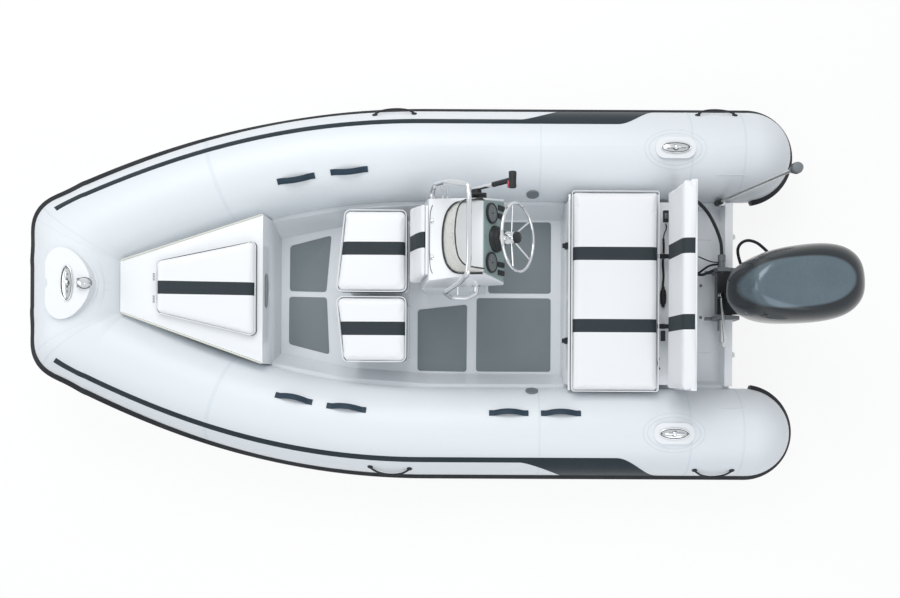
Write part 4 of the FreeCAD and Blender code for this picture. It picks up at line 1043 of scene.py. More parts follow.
def make_helm():
    """Stepped black helm cone, and the wheel of steel tube with five dished spokes."""
    cone = [(0.0670, 0.0), (0.0670, 0.006), (0.0645, 0.010), (0.0625, 0.017), (0.0590, 0.0195),
            (0.0580, 0.027), (0.0540, 0.0295), (0.0525, 0.0350), (0.0460, 0.0372), (0.0380, 0.0378)]
    helm = on_dash_lathe("helm_cone", cone, on_dash(HELM_S, 0.0035), black_plastic, 56)
    fit(shade(helm, 25.0), "boat")
    centre = on_dash(HELM_S, WHEEL_OUT)
    ring_r = WHEEL_R - WHEEL_TUBE
    ring = [centre + dash_turn(2 * math.pi * i / 48) * ring_r for i in range(48)]
    pieces = [tube_along("rim", ring, WHEEL_TUBE, chrome, sides=20, closed=True)]
    boss = [(0.0300, 0.0), (0.0345, 0.003), (0.0345, 0.030), (0.0320, 0.046), (0.0290, 0.060),
            (0.0285, 0.074)]
    pieces.append(shade(on_dash_lathe("boss", boss, on_dash(HELM_S, 0.0425), chrome, 48)))
    for i in range(SPOKES):
        out = dash_turn(math.radians(SPOKE_START + SPOKE_STEP * i))
        near = centre - DASH_OUT * 0.032 + out * 0.026
        far = centre - DASH_OUT * 0.002 + out * (ring_r - 0.003)
        pieces.append(tube_along("spoke", [near, near.lerp(far, 0.5), far], 0.0050, chrome, sides=12))
    cap = [(0.0285, -0.0150), (0.0292, -0.008), (0.0285, 0.003), (0.0240, 0.0075), (0.0120, 0.0095),
           (0.0010, 0.0100)]
    pieces.append(shade(on_dash_lathe("cap", cap, centre, black_plastic, 40), 25.0))
    wheel = joined("helm_wheel", pieces)
    fit(wheel, "wheel")
    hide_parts("steering_wheel")


def make_throttle():
    """Side control: a flat box, chrome lever with a black sleeve, cross grip and red button."""
    y = CONSOLE_Y - CONSOLE_HALF
    outer = y - 0.009
    box = block("box", (-0.336, outer, 0.700), (-0.240, y - 0.0004, 0.800), black_plastic, 0.005, 3)
    boss = [(0.0270, 0.0), (0.0270, 0.022), (0.0230, 0.0270), (0.0100, 0.0290), (0.0010, 0.0292)]
    hub = lathe("hub", boss, (-0.284, outer + 0.0004, 0.740), -ACROSS, black_plastic, 40)
    route = [Vector((-0.268, outer - 0.032, 0.722)), Vector((-0.322, outer - 0.030, 0.792)),
             Vector((-0.372, outer - 0.029, 0.850))]
    lever = tube_along("lever", route, 0.0108, chrome, sides=20)
    upper = [route[2] + Vector((0.004, 0, -0.005)), Vector((-0.410, outer - 0.030, 0.890)),
             Vector((-0.452, outer - 0.031, 0.936))]
    sleeve = tube_along("sleeve", upper, 0.0132, black_plastic, sides=20)
    grip = [(0.0120, 0.0), (0.0175, 0.002), (0.0192, 0.008), (0.0182, 0.030), (0.0178, 0.055),
            (0.0190, 0.072), (0.0172, 0.0785), (0.0120, 0.0800)]
    handle = lathe("grip", grip, (-0.459, y - 0.080, 0.944), ACROSS, black_plastic, 36)
    button = block("button", (-0.4460, y - 0.034, 0.937), (-0.4340, y - 0.002, 0.951), red_plastic, 0.003, 3)
    whole = joined("throttle", [shade(box), shade(hub), lever, sleeve, shade(handle), shade(button)])
    fit(whole, "boat")
    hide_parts("throttle_control")


def screen_line(front, side, corner, aft, half):
    """The screen's plan line round the console, from the starboard end to the port one."""
    line = [(aft, half + 0.004), (side, half), (side + (corner - side) * 0.55, half * 0.9),
            (corner, half * 0.72), (front - 0.004, half * 0.38), (front, 0.0)]
    return line + [(x, -y) for x, y in line[-2::-1]]


def make_screen_trims():
    """Black gasket along the screen's foot and a black edge along its top."""
    top_slope, top_x = 0.62, -0.188
    foot = [Vector((x, CONSOLE_Y + y, console_top(x) + 0.004))
            for x, y in screen_line(-0.118, -0.196, -0.138, -0.318, CONSOLE_TOP_HALF - 0.008)]
    top = [Vector((x, CONSOLE_Y + y, 0.998 + top_slope * (x - top_x)))
           for x, y in screen_line(top_x, -0.246, -0.202, -0.326, CONSOLE_TOP_HALF - 0.024)]
    pieces = [tube_along("trim", line, radius, black_plastic, sides=10)
              for line, radius in ((foot, 0.0062), (top, 0.0036))]
    fit(joined("screen_trims", pieces), "boat")


def bent(points, reach):
    """A route whose corners are rounded by a smooth curve through its control points."""
    route = [points[0]]
    for before, corner, after in zip(points, points[1:], points[2:]):
        near = min(reach, (before - corner).length * 0.45)
        far = min(reach, (after - corner).length * 0.45)
        route += [corner + (before - corner).normalized() * near, corner,
                  corner + (after - corner).normalized() * far]
    return route + [points[-1]]


def make_rail():
    """Polished grab rail: a hoop over the screen, its loops, stays and foot flanges."""
    side, top, bend, stay_r = CONSOLE_HALF + 0.0003, 1.050, 0.050, 0.0052
    points = [(-0.062, -side, 0.690), (-0.062, -side - 0.032, 0.700), (-0.084, -side - 0.032, 0.850),
              (-0.150, -side - 0.024, 0.962), (-0.250, -side + 0.006, top - 0.006),
              (-0.256, -side + 0.070, top), (-0.256, side - 0.070, top),
              (-0.250, side - 0.012, top - 0.012), (-0.205, side + 0.018, 0.900),
              (-0.128, side + 0.046, 0.745), (-0.158, side + 0.066, 0.672), (-0.236, side + 0.066, 0.640),
              (-0.284, side + 0.040, 0.630), (-0.284, side, 0.630)]
    route = [Vector((x, CONSOLE_Y + y, z)) for x, y, z in points]
    pieces = [tube_along("rail", bent(route, bend), 0.0125, chrome, sides=24)]
    flange = [(0.0240, 0.0002), (0.0240, 0.0022), (0.0180, 0.0038), (0.0140, 0.0070), (0.0126, 0.0080)]
    screws = []
    for foot, way in ((route[0], -1), (route[-1], 1)):
        pieces.append(shade(lathe("flange", flange, foot, ACROSS * way, chrome, 32), 30.0))
        for turn in spread(0.5, 0.5 + 2 * math.pi * 2 / 3, 2):
            spot = foot + Vector((math.cos(turn) * 0.0195, way * 0.0040, math.sin(turn) * 0.0195))
            screws.append((spot, ACROSS * way))
    for x, z in ((-0.118, 0.905), (-0.142, 0.945)):
        foot = Vector((x, CONSOLE_Y - 0.2045, 0.740))
        stay = [foot, foot - ACROSS * 0.020, Vector((x, CONSOLE_Y - side - 0.027, z))]
        pieces.append(tube_along("stay", bent(stay, 0.010), stay_r, chrome, sides=12))
    stay = [Vector((-0.192, CONSOLE_Y + side + y, 0.655)) for y in (0.066, 0.033, 0.0)]
    pieces.append(tube_along("stay", stay, stay_r, chrome, sides=12))
    pieces.append(studs("rail_screws", screws, dark_steel, 0.0030, 0.0016))
    whole = joined("grab_rail", pieces)
    fit(whole, "boat")
    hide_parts("console_rail")


# Handles

STRAP_WIDTH, STRAP_LIFT, STRAP_T, STRAP_CROWN, STRAP_PARTS = 0.032, 0.024, 0.0035, 0.0012, 28
FLAT_END, ARCH_RUN = 0.13, 0.74
GRIP_R, GRIP_HALF, GRIP_ANGLE = 0.0052, 0.100, 36


def strap(start, end, angle, side):
    """A flat web handle on the collar, square at its ends and arched between them."""
    section = [(-1, 0.0), (1, 0.0), (1, STRAP_T), (0, STRAP_T + STRAP_CROWN), (-1, STRAP_T)]
    wide = len(section)
    points, faces = [], []
    for share in spread(0.0, 1.0, STRAP_PARTS):
        s = at_x(start + (end - start) * share)
        base = on_skin(s, angle)
        normal = (on_skin(s, angle, 0.01) - base).normalized()
        along = (on_skin(s + 0.002, angle) - on_skin(s - 0.002, angle)).normalized()
        across = normal.cross(along).normalized() * (STRAP_WIDTH / 2)
        arch = min(1.0, max(0.0, (share - FLAT_END) / ARCH_RUN))
        height = 0.0006 + STRAP_LIFT * math.sin(math.pi * arch) ** 0.9
        points += [mirrored(base + across * shift + normal * (height + out), side) for shift, out in section]
    for row in range(0, STRAP_PARTS * wide, wide):
        for j in range(wide):
            k, m = row + j, row + (j + 1) % wide
            faces.append((k, m, m + wide, k + wide))
    faces += [tuple(range(wide))[::-1], tuple(STRAP_PARTS * wide + j for j in range(wide))]
    return bevelled(mesh_from("strap", points, faces, handle_rubber), 0.0009, 2, 50.0)


def side_grip(centre, side):
    """A thin rope grip outside the collar with a round pad under each end."""
    line = [(-GRIP_HALF, GRIP_ANGLE, 0.004), (-0.092, 35, 0.010), (-0.060, 28, 0.015), (0.0, 23, 0.017),
            (0.060, 28, 0.015), (0.092, 35, 0.010), (GRIP_HALF, GRIP_ANGLE, 0.004)]
    route = [mirrored(on_skin(at_x(centre + x), angle, out), side) for x, angle, out in line]
    pieces = [tube_along("grip", route, GRIP_R, black_rubber)]
    pad = [(0.0150, -0.004), (0.0150, 0.0020), (0.0130, 0.0042), (0.0080, 0.0062), (0.0010, 0.0070)]
    for x in (-GRIP_HALF, GRIP_HALF):
        s = at_x(centre + x)
        base = mirrored(on_skin(s, GRIP_ANGLE, 0.0003), side)
        normal = mirrored(on_skin(s, GRIP_ANGLE, 0.01), side) - base
        pieces.append(lathe("pad", pad, base, normal, black_rubber, 28))
    return pieces


def make_handles():
    """Six web straps along the cockpit, and four thin grips outside, low over the strake."""
    spans = [(0.590, 0.790, 118, -1), (0.303, 0.505, 117, -1), (0.598, 0.795, 118, 1), (0.306, 0.520, 117, 1),
             (-0.562, -0.353, 117, 1), (-0.840, -0.628, 117, 1)]
    inner = joined("web_handles", [strap(*span) for span in spans])
    fit(shade(inner), "boat")
    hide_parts("inner_handles")
    pieces = []
    for centre, side in ((0.155, -1), (-1.569, -1), (0.170, 1), (-1.561, 1)):
        pieces += side_grip(centre, side)
    outer = joined("side_grips", pieces)
    fit(shade(outer), "boat")
    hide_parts("outer_handles")


# Repeats, made by Geometry Nodes

def build_studs():
    """Geometry Nodes: a small tapered head on every point, turned to the point's facing."""
    taper, least, most = 0.74, 0.94, 1.06
    group = bpy.data.node_groups.new("studs", "GeometryNodeTree")
    socket = group.interface.new_socket
    socket(name="Geometry", in_out="INPUT", socket_type="NodeSocketGeometry")
    for label, kind, value in (("Radius", "NodeSocketFloat", 0.004), ("Depth", "NodeSocketFloat", 0.002),
                               ("Sides", "NodeSocketInt", 12), ("Seed", "NodeSocketInt", 7)):
        socket(name=label, in_out="INPUT", socket_type=kind).default_value = value
    socket(name="Finish", in_out="INPUT", socket_type="NodeSocketMaterial")
    socket(name="Geometry", in_out="OUTPUT", socket_type="NodeSocketGeometry")
    add, link = group.nodes.new, group.links.new
    given, out = add("NodeGroupInput").outputs, add("NodeGroupOutput")
    head = add("GeometryNodeMeshCone")
    link(given["Sides"], head.inputs["Vertices"])
    link(given["Radius"], head.inputs["Radius Bottom"])
    link(given["Depth"], head.inputs["Depth"])
    link(times(group, given["Radius"], taper), head.inputs["Radius Top"])
    facing = add("GeometryNodeInputNamedAttribute")
    facing.data_type = "FLOAT_VECTOR"
    facing.inputs["Name"].default_value = "facing"
    turn = add("FunctionNodeAlignRotationToVector")
    turn.axis = "Z"
    link(live(facing.outputs)[0], turn.inputs["Vector"])
    jitter = add("FunctionNodeRandomValue")
    jitter.data_type = "FLOAT"
    low, high = [x for x in live(jitter.inputs) if x.name in ("Min", "Max")]
    low.default_value, high.default_value = least, most
    link(given["Seed"], jitter.inputs["Seed"])
    place = add("GeometryNodeInstanceOnPoints")
    link(given["Geometry"], place.inputs["Points"])
    link(head.outputs["Mesh"], place.inputs["Instance"])
    link(turn.outputs["Rotation"], place.inputs["Rotation"])
    link(live(jitter.outputs)[0], place.inputs["Scale"])
    real = add("GeometryNodeRealizeInstances")
    finish = add("GeometryNodeSetMaterial")
    link(place.outputs["Instances"], real.inputs["Geometry"])
    link(real.outputs["Geometry"], finish.inputs["Geometry"])
    link(given["Finish"], finish.inputs["Material"])
    link(finish.outputs["Geometry"], out.inputs["Geometry"])
    return group


stud_group = build_studs()


def studs(name, places, material, radius, depth, sides=12):
    """Screw heads at (place, facing) pairs, as one mesh."""
    mesh = bpy.data.meshes.new(name)
    mesh.from_pydata([tuple(point) for point, facing in places], [], [])
    attribute = mesh.attributes.new("facing", "FLOAT_VECTOR", "POINT")
    attribute.data.foreach_set("vector", [value for point, facing in places for value in facing])
    piece = add_object(name, mesh)
    modifier = piece.modifiers.new("studs", "NODES")
    modifier.node_group = stud_group
    values = {"Radius": radius, "Depth": depth, "Sides": sides, "Seed": 7, "Finish": material}
    for socket in stud_group.interface.items_tree:
        if socket.in_out == "INPUT" and socket.name in values:
            modifier[socket.identifier] = values[socket.name]
    return baked(piece)


# Fittings

def oval_ring(name, centre, half_x, half_y, radius, material):
    points = [Vector((x, y, centre.z)) for x, y in ellipse(centre.x, centre.y, half_x, half_y, 40)]
    return tube_along(name, points, radius, material, sides=10, closed=True)


def cleat(x, y, z, long, short, lengthways):
    """A flush pull-up cleat: an oval dish with a rim, a bar over it and a domed middle."""
    half_x, half_y = (long, short) if lengthways else (short, long)
    run = Vector((1, 0, 0)) if lengthways else ACROSS
    centre = Vector((x, y, z))
    dish = ellipse(x, y, half_x - 0.002, half_y - 0.002, 48)
    pieces = [shade(prism("dish", dish, z + 0.0004, z + 0.0042, stainless, 0.001))]
    for lift, in_x, in_y, radius, material in ((0.0046, 0.0036, 0.0036, 0.0034, chrome),
                                               (0.0042, 0.0085, 0.0080, 0.0017, black_plastic)):
        pieces.append(oval_ring("rim", centre + UP * lift, half_x - in_x, half_y - in_y, radius, material))
    bar = [(-0.050, 0.010), (-0.030, 0.0150), (0.030, 0.0150), (0.050, 0.010)]
    bar = [centre + run * along + UP * height for along, height in bar]
    pieces.append(tube_along("bar", bar, 0.0062, chrome, sides=16))
    foot = [(0.0085, 0.0), (0.0075, 0.005), (0.0072, 0.0105)]
    for along in (-0.030, 0.030):
        pieces.append(lathe("foot", foot, centre + run * along + UP * 0.004, UP, chrome, 20))
    dome = [(0.0140, 0.0), (0.0135, 0.009), (0.0110, 0.0150), (0.0060, 0.0182), (0.0010, 0.0190)]
    pieces.append(shade(lathe("dome", dome, centre + UP * 0.004, UP, chrome, 32), 25.0))
    pieces.append(oval_ring("dome_ring", centre + UP * 0.0052, 0.0150, 0.0150, 0.0013, black_plastic))
    spots = [(centre + run * along + UP * 0.0050, UP) for along in (-long + 0.0150, long - 0.0150)]
    pieces.append(studs("screws", spots, dark_steel, 0.0036, 0.0020))
    return pieces


def make_cleats():
    pieces = cleat(BOW_X - 0.028, 0.0, BOW_PAD_TOP + 0.0003, 0.090, 0.033, False)
    for side in SIDES:
        pieces += cleat(STERN_CLEAT_X, side * (SIDE_Y - 0.008), STERN_PAD_TOP + 0.0003, 0.080, 0.032, True)
    whole = joined("flush_cleats", pieces)
    fit(whole, "boat")
    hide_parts("cleats")


def make_bow_light():
    """Low chrome light on the bow pad, longer along the boat, with two dark lenses."""
    stretch, lens_y, lens_half = 1.34, 0.0165, 0.0065
    centre = Vector((BOW_X - 0.118, 0.0, BOW_PAD_TOP + 0.0003))
    profile = [(0.0290, 0.0), (0.0290, 0.005), (0.0262, 0.0085), (0.0245, 0.018), (0.0205, 0.0300),
               (0.0130, 0.0390), (0.0010, 0.0425)]
    body = shade(lathe("light", profile, centre, UP, chrome, 48), 25.0)
    for vertex in body.data.vertices:
        vertex.co.x = centre.x + (vertex.co.x - centre.x) * stretch
    ring = oval_ring("ring", centre + UP * 0.0068, 0.0375, 0.0278, 0.0013, black_plastic)
    lenses = [block("lens", centre + Vector((0.004, side * lens_y - lens_half, 0.012)),
                    centre + Vector((0.028, side * lens_y + lens_half, 0.028)), dark_steel, 0.003, 3)
              for side in SIDES]
    whole = joined("bow_lamp", [body, ring] + lenses)
    fit(whole, "boat")
    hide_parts("bow_light")


def skin_line(name, plan, radius=0.0014, closed=False):
    """A fine welded ridge on the collar along a plan line."""
    line = [dropped(x, y, radius * 0.3) for x, y in plan]
    return tube_along(name, line, radius, seam_tape, sides=8, closed=closed)


def make_skin_ridges():
    """Welded outlines round the pads, and the seams of the nose and the stern patches."""
    patch = [(-1.500, 0.530), (-1.510, 0.548), (-1.556, 0.618), (-1.575, 0.624), (-1.700, 0.622),
             (-1.720, 0.618)]
    pieces = []
    for side in SIDES:
        for half_x, half_y in ((0.140, 0.083), (0.163, 0.102)):
            plan = ellipse(STERN_CLEAT_X, side * (SIDE_Y - 0.010), half_x, half_y, 48)
            pieces.append(skin_line("outline", plan, closed=True))
        pieces.append(skin_line("patch", [(x, side * y) for x, y in patch], 0.0020))
    egg = [(0.080, 0.100), (0.062, 0.148), (0.024, 0.176), (-0.030, 0.172), (-0.084, 0.134), (-0.126, 0.074),
           (-0.143, 0.0)]
    egg += [(x, -y) for x, y in egg[-2::-1]]
    for scale in (1.10, 1.25):
        plan = [(BOW_X - 0.010 + (x + 0.010) * scale, y * scale) for x, y in egg]
        pieces.append(skin_line("egg", plan))
    nose = [(1.690, -0.175), (1.640, -0.135), (1.612, -0.085), (1.606, 0.0)]
    nose += [(x, -y) for x, y in nose[-2::-1]]
    pieces.append(skin_line("nose", nose))
    for y0, y1 in ((-0.011, 0.001), (0.023, 0.028)):
        pieces.append(skin_line("seam", [(1.604, y0), (1.575, (y0 + y1) / 2), (1.548, y1)], 0.0018))
    fit(shade(joined("skin_ridges", pieces), 60.0), "boat")


def make_locker_fittings():
    """Cream seal where the bow locker meets the collar, its lid hinges and its pull."""
    seal_aft, seal_fore = Vector((0.850, 0.392, 0)), Vector((1.545, 0.136, 0))
    hinge_x, leaf_half = LID_FORE_X + 0.005, 0.021
    pieces = []
    for side in SIDES:
        line = [mirrored(seal_aft.lerp(seal_fore, share), side) for share in spread(0.0, 1.0, 12)]
        line = [point + UP * (locker_top(point.x) + 0.0010) for point in line]
        pieces.append(tube_along("seal", line, 0.0052, cream_seal, sides=10))
    fit(joined("locker_seals", pieces), "boat")
    pieces, screws = [], []
    z = locker_top(hinge_x)
    for y in (-0.054, 0.062):
        leaf = block("leaf", (hinge_x + 0.0005, y - leaf_half, z + 0.0003),
                     (hinge_x + 0.0210, y + leaf_half, z + 0.0014), chrome, 0.0004)
        for vertex in leaf.data.vertices:
            vertex.co.z += LOCKER_SLOPE * (vertex.co.x - hinge_x)
        pieces.append(leaf)
        screws += [(Vector((hinge_x + 0.0145, y + dy, z + LOCKER_SLOPE * 0.0145 + 0.0016)), UP)
                   for dy in (-0.013, 0.0, 0.013)]
    pieces.append(studs("hinge_screws", screws, dark_steel, 0.0030, 0.0008))
    pull = [(0.0020, -0.092), (0.0070, -0.080), (0.0100, -0.040), (0.0110, 0.0), (0.0100, 0.040),
            (0.0070, 0.080), (0.0020, 0.092)]
    pieces.append(shade(lathe("pull", pull, (0.8380, 0.004, 0.452), ACROSS, hinge_plastic, 20), 60.0))
    fit(joined("locker_fittings", pieces), "boat")


def make_console_fittings():
    """Seam and hinge eyes of the console's hatch, and the dash's screws."""
    seam = [(-0.068, -0.170), (-0.056, -0.150), (-0.0525, -0.080), (-0.0525, 0.080), (-0.056, 0.150),
            (-0.068, 0.170)]
    line = [Vector((x, CONSOLE_Y + y, console_top(x) + 0.0009)) for x, y in seam]
    pieces = [tube_along("seam", line, 0.0017, black_rubber, sides=8)]
    knob = [(0.0105, 0.0), (0.0105, 0.0022), (0.0090, 0.0034), (0.0060, 0.0040), (0.0010, 0.0042)]
    for y in (-0.092, 0.089):
        eye = Vector((-0.066, CONSOLE_Y + y, console_top(-0.066) + 0.0006))
        pieces.append(shade(lathe("eye", knob, eye, UP, chrome, 28), 30.0))
        pieces.append(oval_ring("eye_ring", eye + UP * 0.0014, 0.0108, 0.0108, 0.0011, black_plastic))
    places = [(0.014, -0.165), (0.014, 0.165), (0.199, -0.190), (0.199, 0.190), (0.014, 0.0), (0.199, 0.0)]
    screws = [(on_dash(s, 0.0052, y), DASH_OUT) for s, y in places]
    pieces.append(studs("dash_screws", screws, dark_steel, 0.0034, 0.0018))
    fit(joined("console_fittings", pieces), "boat")


def make_bench_fittings():
    """Latches at the bench's front, and the straps, buckles and lines in the gap before the backrest."""
    rows = [("latch", (-0.253, 0.261), 0.0170, (-0.7820, -0.7600), (0.352, 0.3985), black_rubber, 0.003, 3),
            ("hook", (-0.253, 0.261), 0.0120, (-0.7640, -0.7460), (0.376, 0.3965), black_rubber, 0.003, 3),
            ("buckle", (-0.196, 0.182), 0.0150, (-1.3000, -1.2700), (0.402, 0.4075), stainless, 0.002, 2),
            ("strap", (-0.196, 0.182), 0.0120, (-1.3420, -1.2590), (0.4060, 0.4085), black_rubber, 0.001, 2),
            ("clip", (-0.410,), 0.032, (-1.3140, -1.2850), (0.4005, 0.4230), black_plastic, 0.005, 3),
            ("clip_eye", (-0.410,), 0.015, (-1.3080, -1.2910), (0.4200, 0.4300), dark_steel, 0.003, 3),
            ("clip_low", (0.2335,), 0.0285, (-1.3000, -1.2760), (0.4005, 0.4190), black_plastic, 0.005, 3)]
    pieces = [block(name, (x[0], y - half, z[0]), (x[1], y + half, z[1]), material, edge, segments)
              for name, places, half, x, z, material, edge, segments in rows for y in places]
    lines = [[(-1.270, 0.352, 0.404), (-1.262, 0.372, 0.406), (-1.264, 0.398, 0.406), (-1.274, 0.414, 0.404)],
             [(-1.300, -0.372, 0.405), (-1.309, -0.351, 0.407), (-1.289, -0.315, 0.407),
              (-1.287, -0.262, 0.405)]]
    for route in lines:
        pieces.append(tube_along("line", [Vector(p) for p in route], 0.0034, black_rubber, sides=10))
    fit(joined("bench_fittings", pieces), "boat")


def make_engine_lines():
    """Small lines and fittings round the mount: cables, bolts, plates and moulded edges of the well."""
    plate_y, plate_half, well_z = 0.165, 0.036, 0.2012
    lines = [(0.0036, [(-1.497, -0.206, 0.330), (-1.560, -0.176, 0.336), (-1.594, -0.174, 0.344),
                       (-1.629, -0.169, 0.356)]),
             (0.0060, [(-1.505, -0.112, 0.250), (-1.536, -0.144, 0.300), (-1.577, -0.166, 0.326),
                       (-1.626, -0.162, 0.350)])]
    pieces = [tube_along("line", [Vector(p) for p in route], radius, black_rubber, sides=12)
              for radius, route in lines]
    well_edge = [(-1.505, 0.320), (-1.590, 0.320), (-1.600, 0.318), (-1.600, 0.308), (-1.600, 0.288)]
    for side in SIDES:
        pieces.append(block("plate", (TRANSOM_X, side * plate_y - plate_half, TRANSOM_TOP + 0.0006),
                            (-1.6070, side * plate_y + plate_half, TRANSOM_TOP + 0.0050), engine_grey, 0.002))
        edge = [Vector((x, side * y, well_z)) for x, y in well_edge]
        pieces.append(tube_along("edge", edge, 0.0030, gelcoat, sides=8))
    spots = [(Vector((-1.544, y, 0.2020)), UP) for y in (0.120, -0.060)]
    spots += [(Vector((-1.6275, side * (plate_y + dy), TRANSOM_TOP + 0.0062)), UP)
              for side in SIDES for dy in (-0.024, 0.024)]
    pieces.append(studs("well_bolts", spots, dark_steel, 0.0090, 0.0040, 6))
    fit(joined("engine_lines", pieces), "boat")


def make_stern_lamp():
    """Raked light pole: black knob at its foot, ribbed socket, steel pole and a grey all-round head."""
    foot, head = Vector((-1.600, -0.500, 0.330)), Vector((-1.705, -0.478, 1.180))
    run = (head - foot).normalized()
    knob = [(0.0120, -0.014), (0.0170, -0.010), (0.0170, 0.010), (0.0150, 0.014), (0.0165, 0.018),
            (0.0165, 0.050), (0.0130, 0.058), (0.0110, 0.062)]
    pieces = [shade(lathe("knob", knob, foot, run, black_plastic, 32), 25.0)]
    pole = [foot + run * 0.01, foot.lerp(head, 0.5), head]
    pieces.append(tube_along("pole", pole, 0.0080, stainless, sides=20))
    top = [(0.0130, -0.014), (0.0165, -0.010), (0.0170, 0.004), (0.0150, 0.010), (0.0200, 0.014),
           (0.0240, 0.022), (0.0250, 0.034), (0.0225, 0.046), (0.0150, 0.055), (0.0010, 0.058)]
    pieces.append(shade(lathe("head", top, head, run, hinge_plastic, 36), 25.0))
    for height in (0.020, 0.028, 0.036):
        ring = [(0.0235, height - 0.0012), (0.0256, height), (0.0235, height + 0.0012)]
        pieces.append(lathe("rib", ring, head, run, black_plastic, 36))
    pieces.append(block("base", (TRANSOM_X + 0.001, -0.512, TRANSOM_TOP - 0.020),
                        (TRANSOM_X + 0.066, -0.488, 0.3215), stainless, 0.002))
    whole = joined("stern_lamp", pieces)
    fit(whole, "boat")
    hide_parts("stern_light")


# Moulded boxes with rounded edges

def is_upright_corner(edge):
    if not (edge.is_manifold and edge.is_convex and edge.calc_face_angle() > 0.5):
        return False
    return abs((edge.verts[0].co - edge.verts[1].co).normalized().z) > 0.95


def softened(name, width, upright):
    """A copy of a node's solid with its sharp edges rounded, the upright ones more."""
    work = bmesh.new()
    work.from_mesh(nodes[name].data)
    bmesh.ops.remove_doubles(work, verts=work.verts, dist=0.00002)
    bmesh.ops.dissolve_limit(work, angle_limit=math.radians(0.6), verts=work.verts, edges=work.edges)
    if upright:
        corners = [edge for edge in work.edges if is_upright_corner(edge)]
        bmesh.ops.bevel(work, geom=corners, offset=upright, segments=6, profile=0.5, affect="EDGES",
                        clamp_overlap=True)
    piece = from_bmesh(name + "_soft", work, nodes[name].data.materials[0])
    piece.matrix_world = nodes[name].matrix_world.copy()
    return shade(bevelled(piece, width, 3, 28.0), 30.0)


def make_soft_boxes():
    boxes = [("floor_pads", "slate_pad", 0.0012, 0.016), ("bench_box", "gelcoat", 0.0050, 0.0),
             ("console_seat_box", "gelcoat", 0.0060, 0.012), ("port_seat_box", "gelcoat", 0.0060, 0.012),
             ("bow_locker", "gelcoat", 0.0060, 0.0), ("console", "gelcoat", 0.0090, 0.0)]
    for name, slot, width, upright in boxes:
        piece = softened(name, width, upright)
        fit(piece, "boat")
        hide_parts(name)


# Free cords: their routes are the part's own, in metres

STEERING_CABLE = [(-1.372, -0.540, 0.392), (-1.424, -0.526, 0.390), (-1.490, -0.494, 0.372),
                  (-1.545, -0.440, 0.354), (-1.584, -0.368, 0.354), (-1.606, -0.296, 0.368),
                  (-1.612, -0.250, 0.375), (-1.612, -0.2093, 0.375)]
ENGINE_HARNESS = [(-1.3723, -0.129, 0.266), (-1.4298, -0.138, 0.262), (-1.486, -0.128, 0.272),
                  (-1.518, -0.106, 0.296), (-1.548, -0.116, 0.328), (-1.5777, -0.129, 0.337)]
FUEL_HOSE = [(-1.300, -0.300, 0.353), (-1.304, -0.240, 0.353), (-1.296, -0.170, 0.353),
             (-1.303, -0.100, 0.353), (-1.297, -0.040, 0.353), (-1.298, -0.034, 0.357)]
LOOP_HOSE = [(-1.660, -0.135, 0.560), (-1.637, -0.190, 0.570), (-1.640, -0.232, 0.590),
             (-1.675, -0.256, 0.600), (-1.725, -0.246, 0.600), (-1.765, -0.215, 0.600),
             (-1.800, -0.180, 0.600)]


def route_length(points):
    curve = nurbs_curve("measure", points, 24)
    measured = curve.splines[0].calc_length()
    bpy.data.curves.remove(curve)
    return measured


def make_cord(name, radius, points, body, replaced=None):
    curve = nurbs_curve(name, points, 12)
    curve.bevel_depth = radius
    curve.bevel_resolution = 4
    curve.use_fill_caps = True
    cord = add_object(name, curve, black_rubber)
    fit(cord, body)
    if replaced:
        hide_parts(replaced)
    round(route_length(points), 3)


def make_cords():
    make_cord("steering_cable_cord", 0.009, STEERING_CABLE, "boat", "steering_cable")
    make_cord("engine_harness_cord", 0.008, ENGINE_HARNESS, "boat", "engine_harness")
    bulb = [(0.0060, 0.0), (0.0085, 0.003), (0.0095, 0.014), (0.0150, 0.022), (0.0168, 0.040),
            (0.0168, 0.072), (0.0150, 0.090), (0.0095, 0.098), (0.0085, 0.109), (0.0060, 0.112)]
    primer = shade(lathe("primer_bulb", bulb, (-1.2985, -0.036, 0.360), ACROSS, black_rubber, 28), 40.0)
    fit(primer, "boat")
    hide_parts("fuel_hose")
    make_cord("fuel_hose_cord", 0.006, FUEL_HOSE, "boat", "fuel_hose")
    make_cord("cowl_loop_hose", 0.0078, LOOP_HOSE, "engine")


# Stage, lights and camera

FLOOR_HALF, FLOOR_GLOW = 60.0, 0.86
SKY_LOW, SKY_RISE, SKY_WHITE = 0.10, 0.62, 0.93
LOOK_DOWN_AT = (0.0, 0.0, 0.2)
FRAME_WIDE, FOCUS_PIXELS, CENTRE_PIXEL, AIM_PIXEL = 900.0, 827.846, (450.0, 299.0), (488.594, 371.581)


def seen_rays(tree):
    """One for the rays that show the background: from the camera, in metal and through glass."""
    paths = tree.nodes.new("ShaderNodeLightPath").outputs
    seen = math_node(tree, "MAXIMUM", paths["Is Camera Ray"], paths["Is Glossy Ray"])
    return math_node(tree, "MAXIMUM", seen, paths["Is Transmission Ray"])


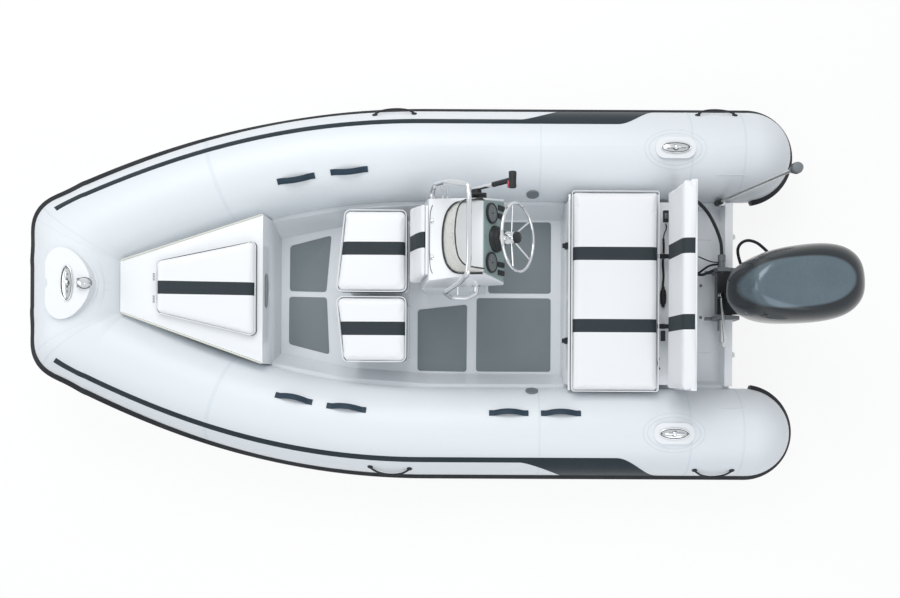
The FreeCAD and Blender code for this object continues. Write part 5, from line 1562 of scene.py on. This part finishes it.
def make_floor():
    half = FLOOR_HALF
    corners = [(-half, -half, 0), (half, -half, 0), (half, half, 0), (-half, half, 0)]
    material = new_material("floor_white")
    tree = material.node_tree
    set_shader(material, Base_Color=(0.90, 0.90, 0.90, 1), Roughness=0.9)
    glow = tree.nodes.new("ShaderNodeEmission")
    glow.inputs["Color"].default_value = (1, 1, 1, 1)
    glow.inputs["Strength"].default_value = 1.0
    mix = tree.nodes.new("ShaderNodeMixShader")
    tree.links.new(times(tree, seen_rays(tree), FLOOR_GLOW), mix.inputs[0])
    tree.links.new(tree.nodes["Principled BSDF"].outputs[0], mix.inputs[1])
    tree.links.new(glow.outputs[0], mix.inputs[2])
    tree.links.new(mix.outputs[0], tree.nodes["Material Output"].inputs["Surface"])
    floor = mesh_from("floor", corners, [(0, 1, 2, 3)], material)


def make_sky():
    """A world that lights from above and shows white to the rays that see it."""
    world = bpy.data.worlds.new("studio")
    bpy.context.scene.world = world
    world.use_nodes = True
    tree = world.node_tree
    sky = tree.nodes["Background"]
    sky.inputs["Color"].default_value = (0.93, 0.96, 1.0, 1)
    place = parted(tree, tree.nodes.new("ShaderNodeTexCoord").outputs["Generated"])
    level = ramp(tree, place["Z"], 0.10, 0.42)
    light = math_node(tree, "ADD", times(tree, level, SKY_RISE), SKY_LOW)
    strength = math_node(tree, "MAXIMUM", light, times(tree, seen_rays(tree), SKY_WHITE))
    tree.links.new(strength, sky.inputs["Strength"])


def add_light(name, place, aim, size, power, colour):
    light = bpy.data.lights.new(name, "AREA")
    light.size = size
    light.energy = power
    light.color = colour
    lamp = bpy.data.objects.new(name, light)
    bpy.context.scene.collection.objects.link(lamp)
    lamp.location = place
    lamp.rotation_euler = (Vector(aim) - Vector(place)).to_track_quat("-Z", "Y").to_euler()


def make_lights():
    add_light("key", (0.6, -3.2, 4.6), LOOK_DOWN_AT, 3.4, 130.0, (1.0, 0.99, 0.97))
    add_light("fill", (-1.5, 3.8, 4.2), LOOK_DOWN_AT, 4.0, 66.0, (0.95, 0.98, 1.0))
    add_light("bow_light_soft", (4.6, 0.5, 3.2), (0.6, 0.0, 0.2), 3.0, 38.0, (1, 1, 1))


def make_camera():
    """Straight down, as the photograph, a little off the boat's centre."""
    camera = bpy.data.cameras.new("camera")
    camera.sensor_width = 36.0
    camera.lens = camera.sensor_width * FOCUS_PIXELS / FRAME_WIDE
    camera.shift_x = -(AIM_PIXEL[0] - CENTRE_PIXEL[0]) / FRAME_WIDE
    camera.shift_y = (AIM_PIXEL[1] - CENTRE_PIXEL[1]) / FRAME_WIDE
    view = bpy.data.objects.new("camera", camera)
    bpy.context.scene.collection.objects.link(view)
    view.location = (-0.3497, 0.4304, 4.870)
    view.rotation_euler = (0.0, 0.0, math.pi + 0.004985)
    bpy.context.scene.camera = view


make_camera()
make_cords()
make_tube_stripes()
make_seam_tapes()
make_strake_ribs()
make_cushions()
make_backrests()
make_dash()
make_helm()
make_throttle()
make_screen_trims()
make_rail()
make_soft_boxes()
make_handles()
make_cleats()
make_bow_light()
make_skin_ridges()
make_locker_fittings()
make_console_fittings()
make_bench_fittings()
make_engine_lines()
make_stern_lamp()
make_floor()
make_sky()
make_lights()

bpy.context.scene.view_settings.view_transform = "Standard"
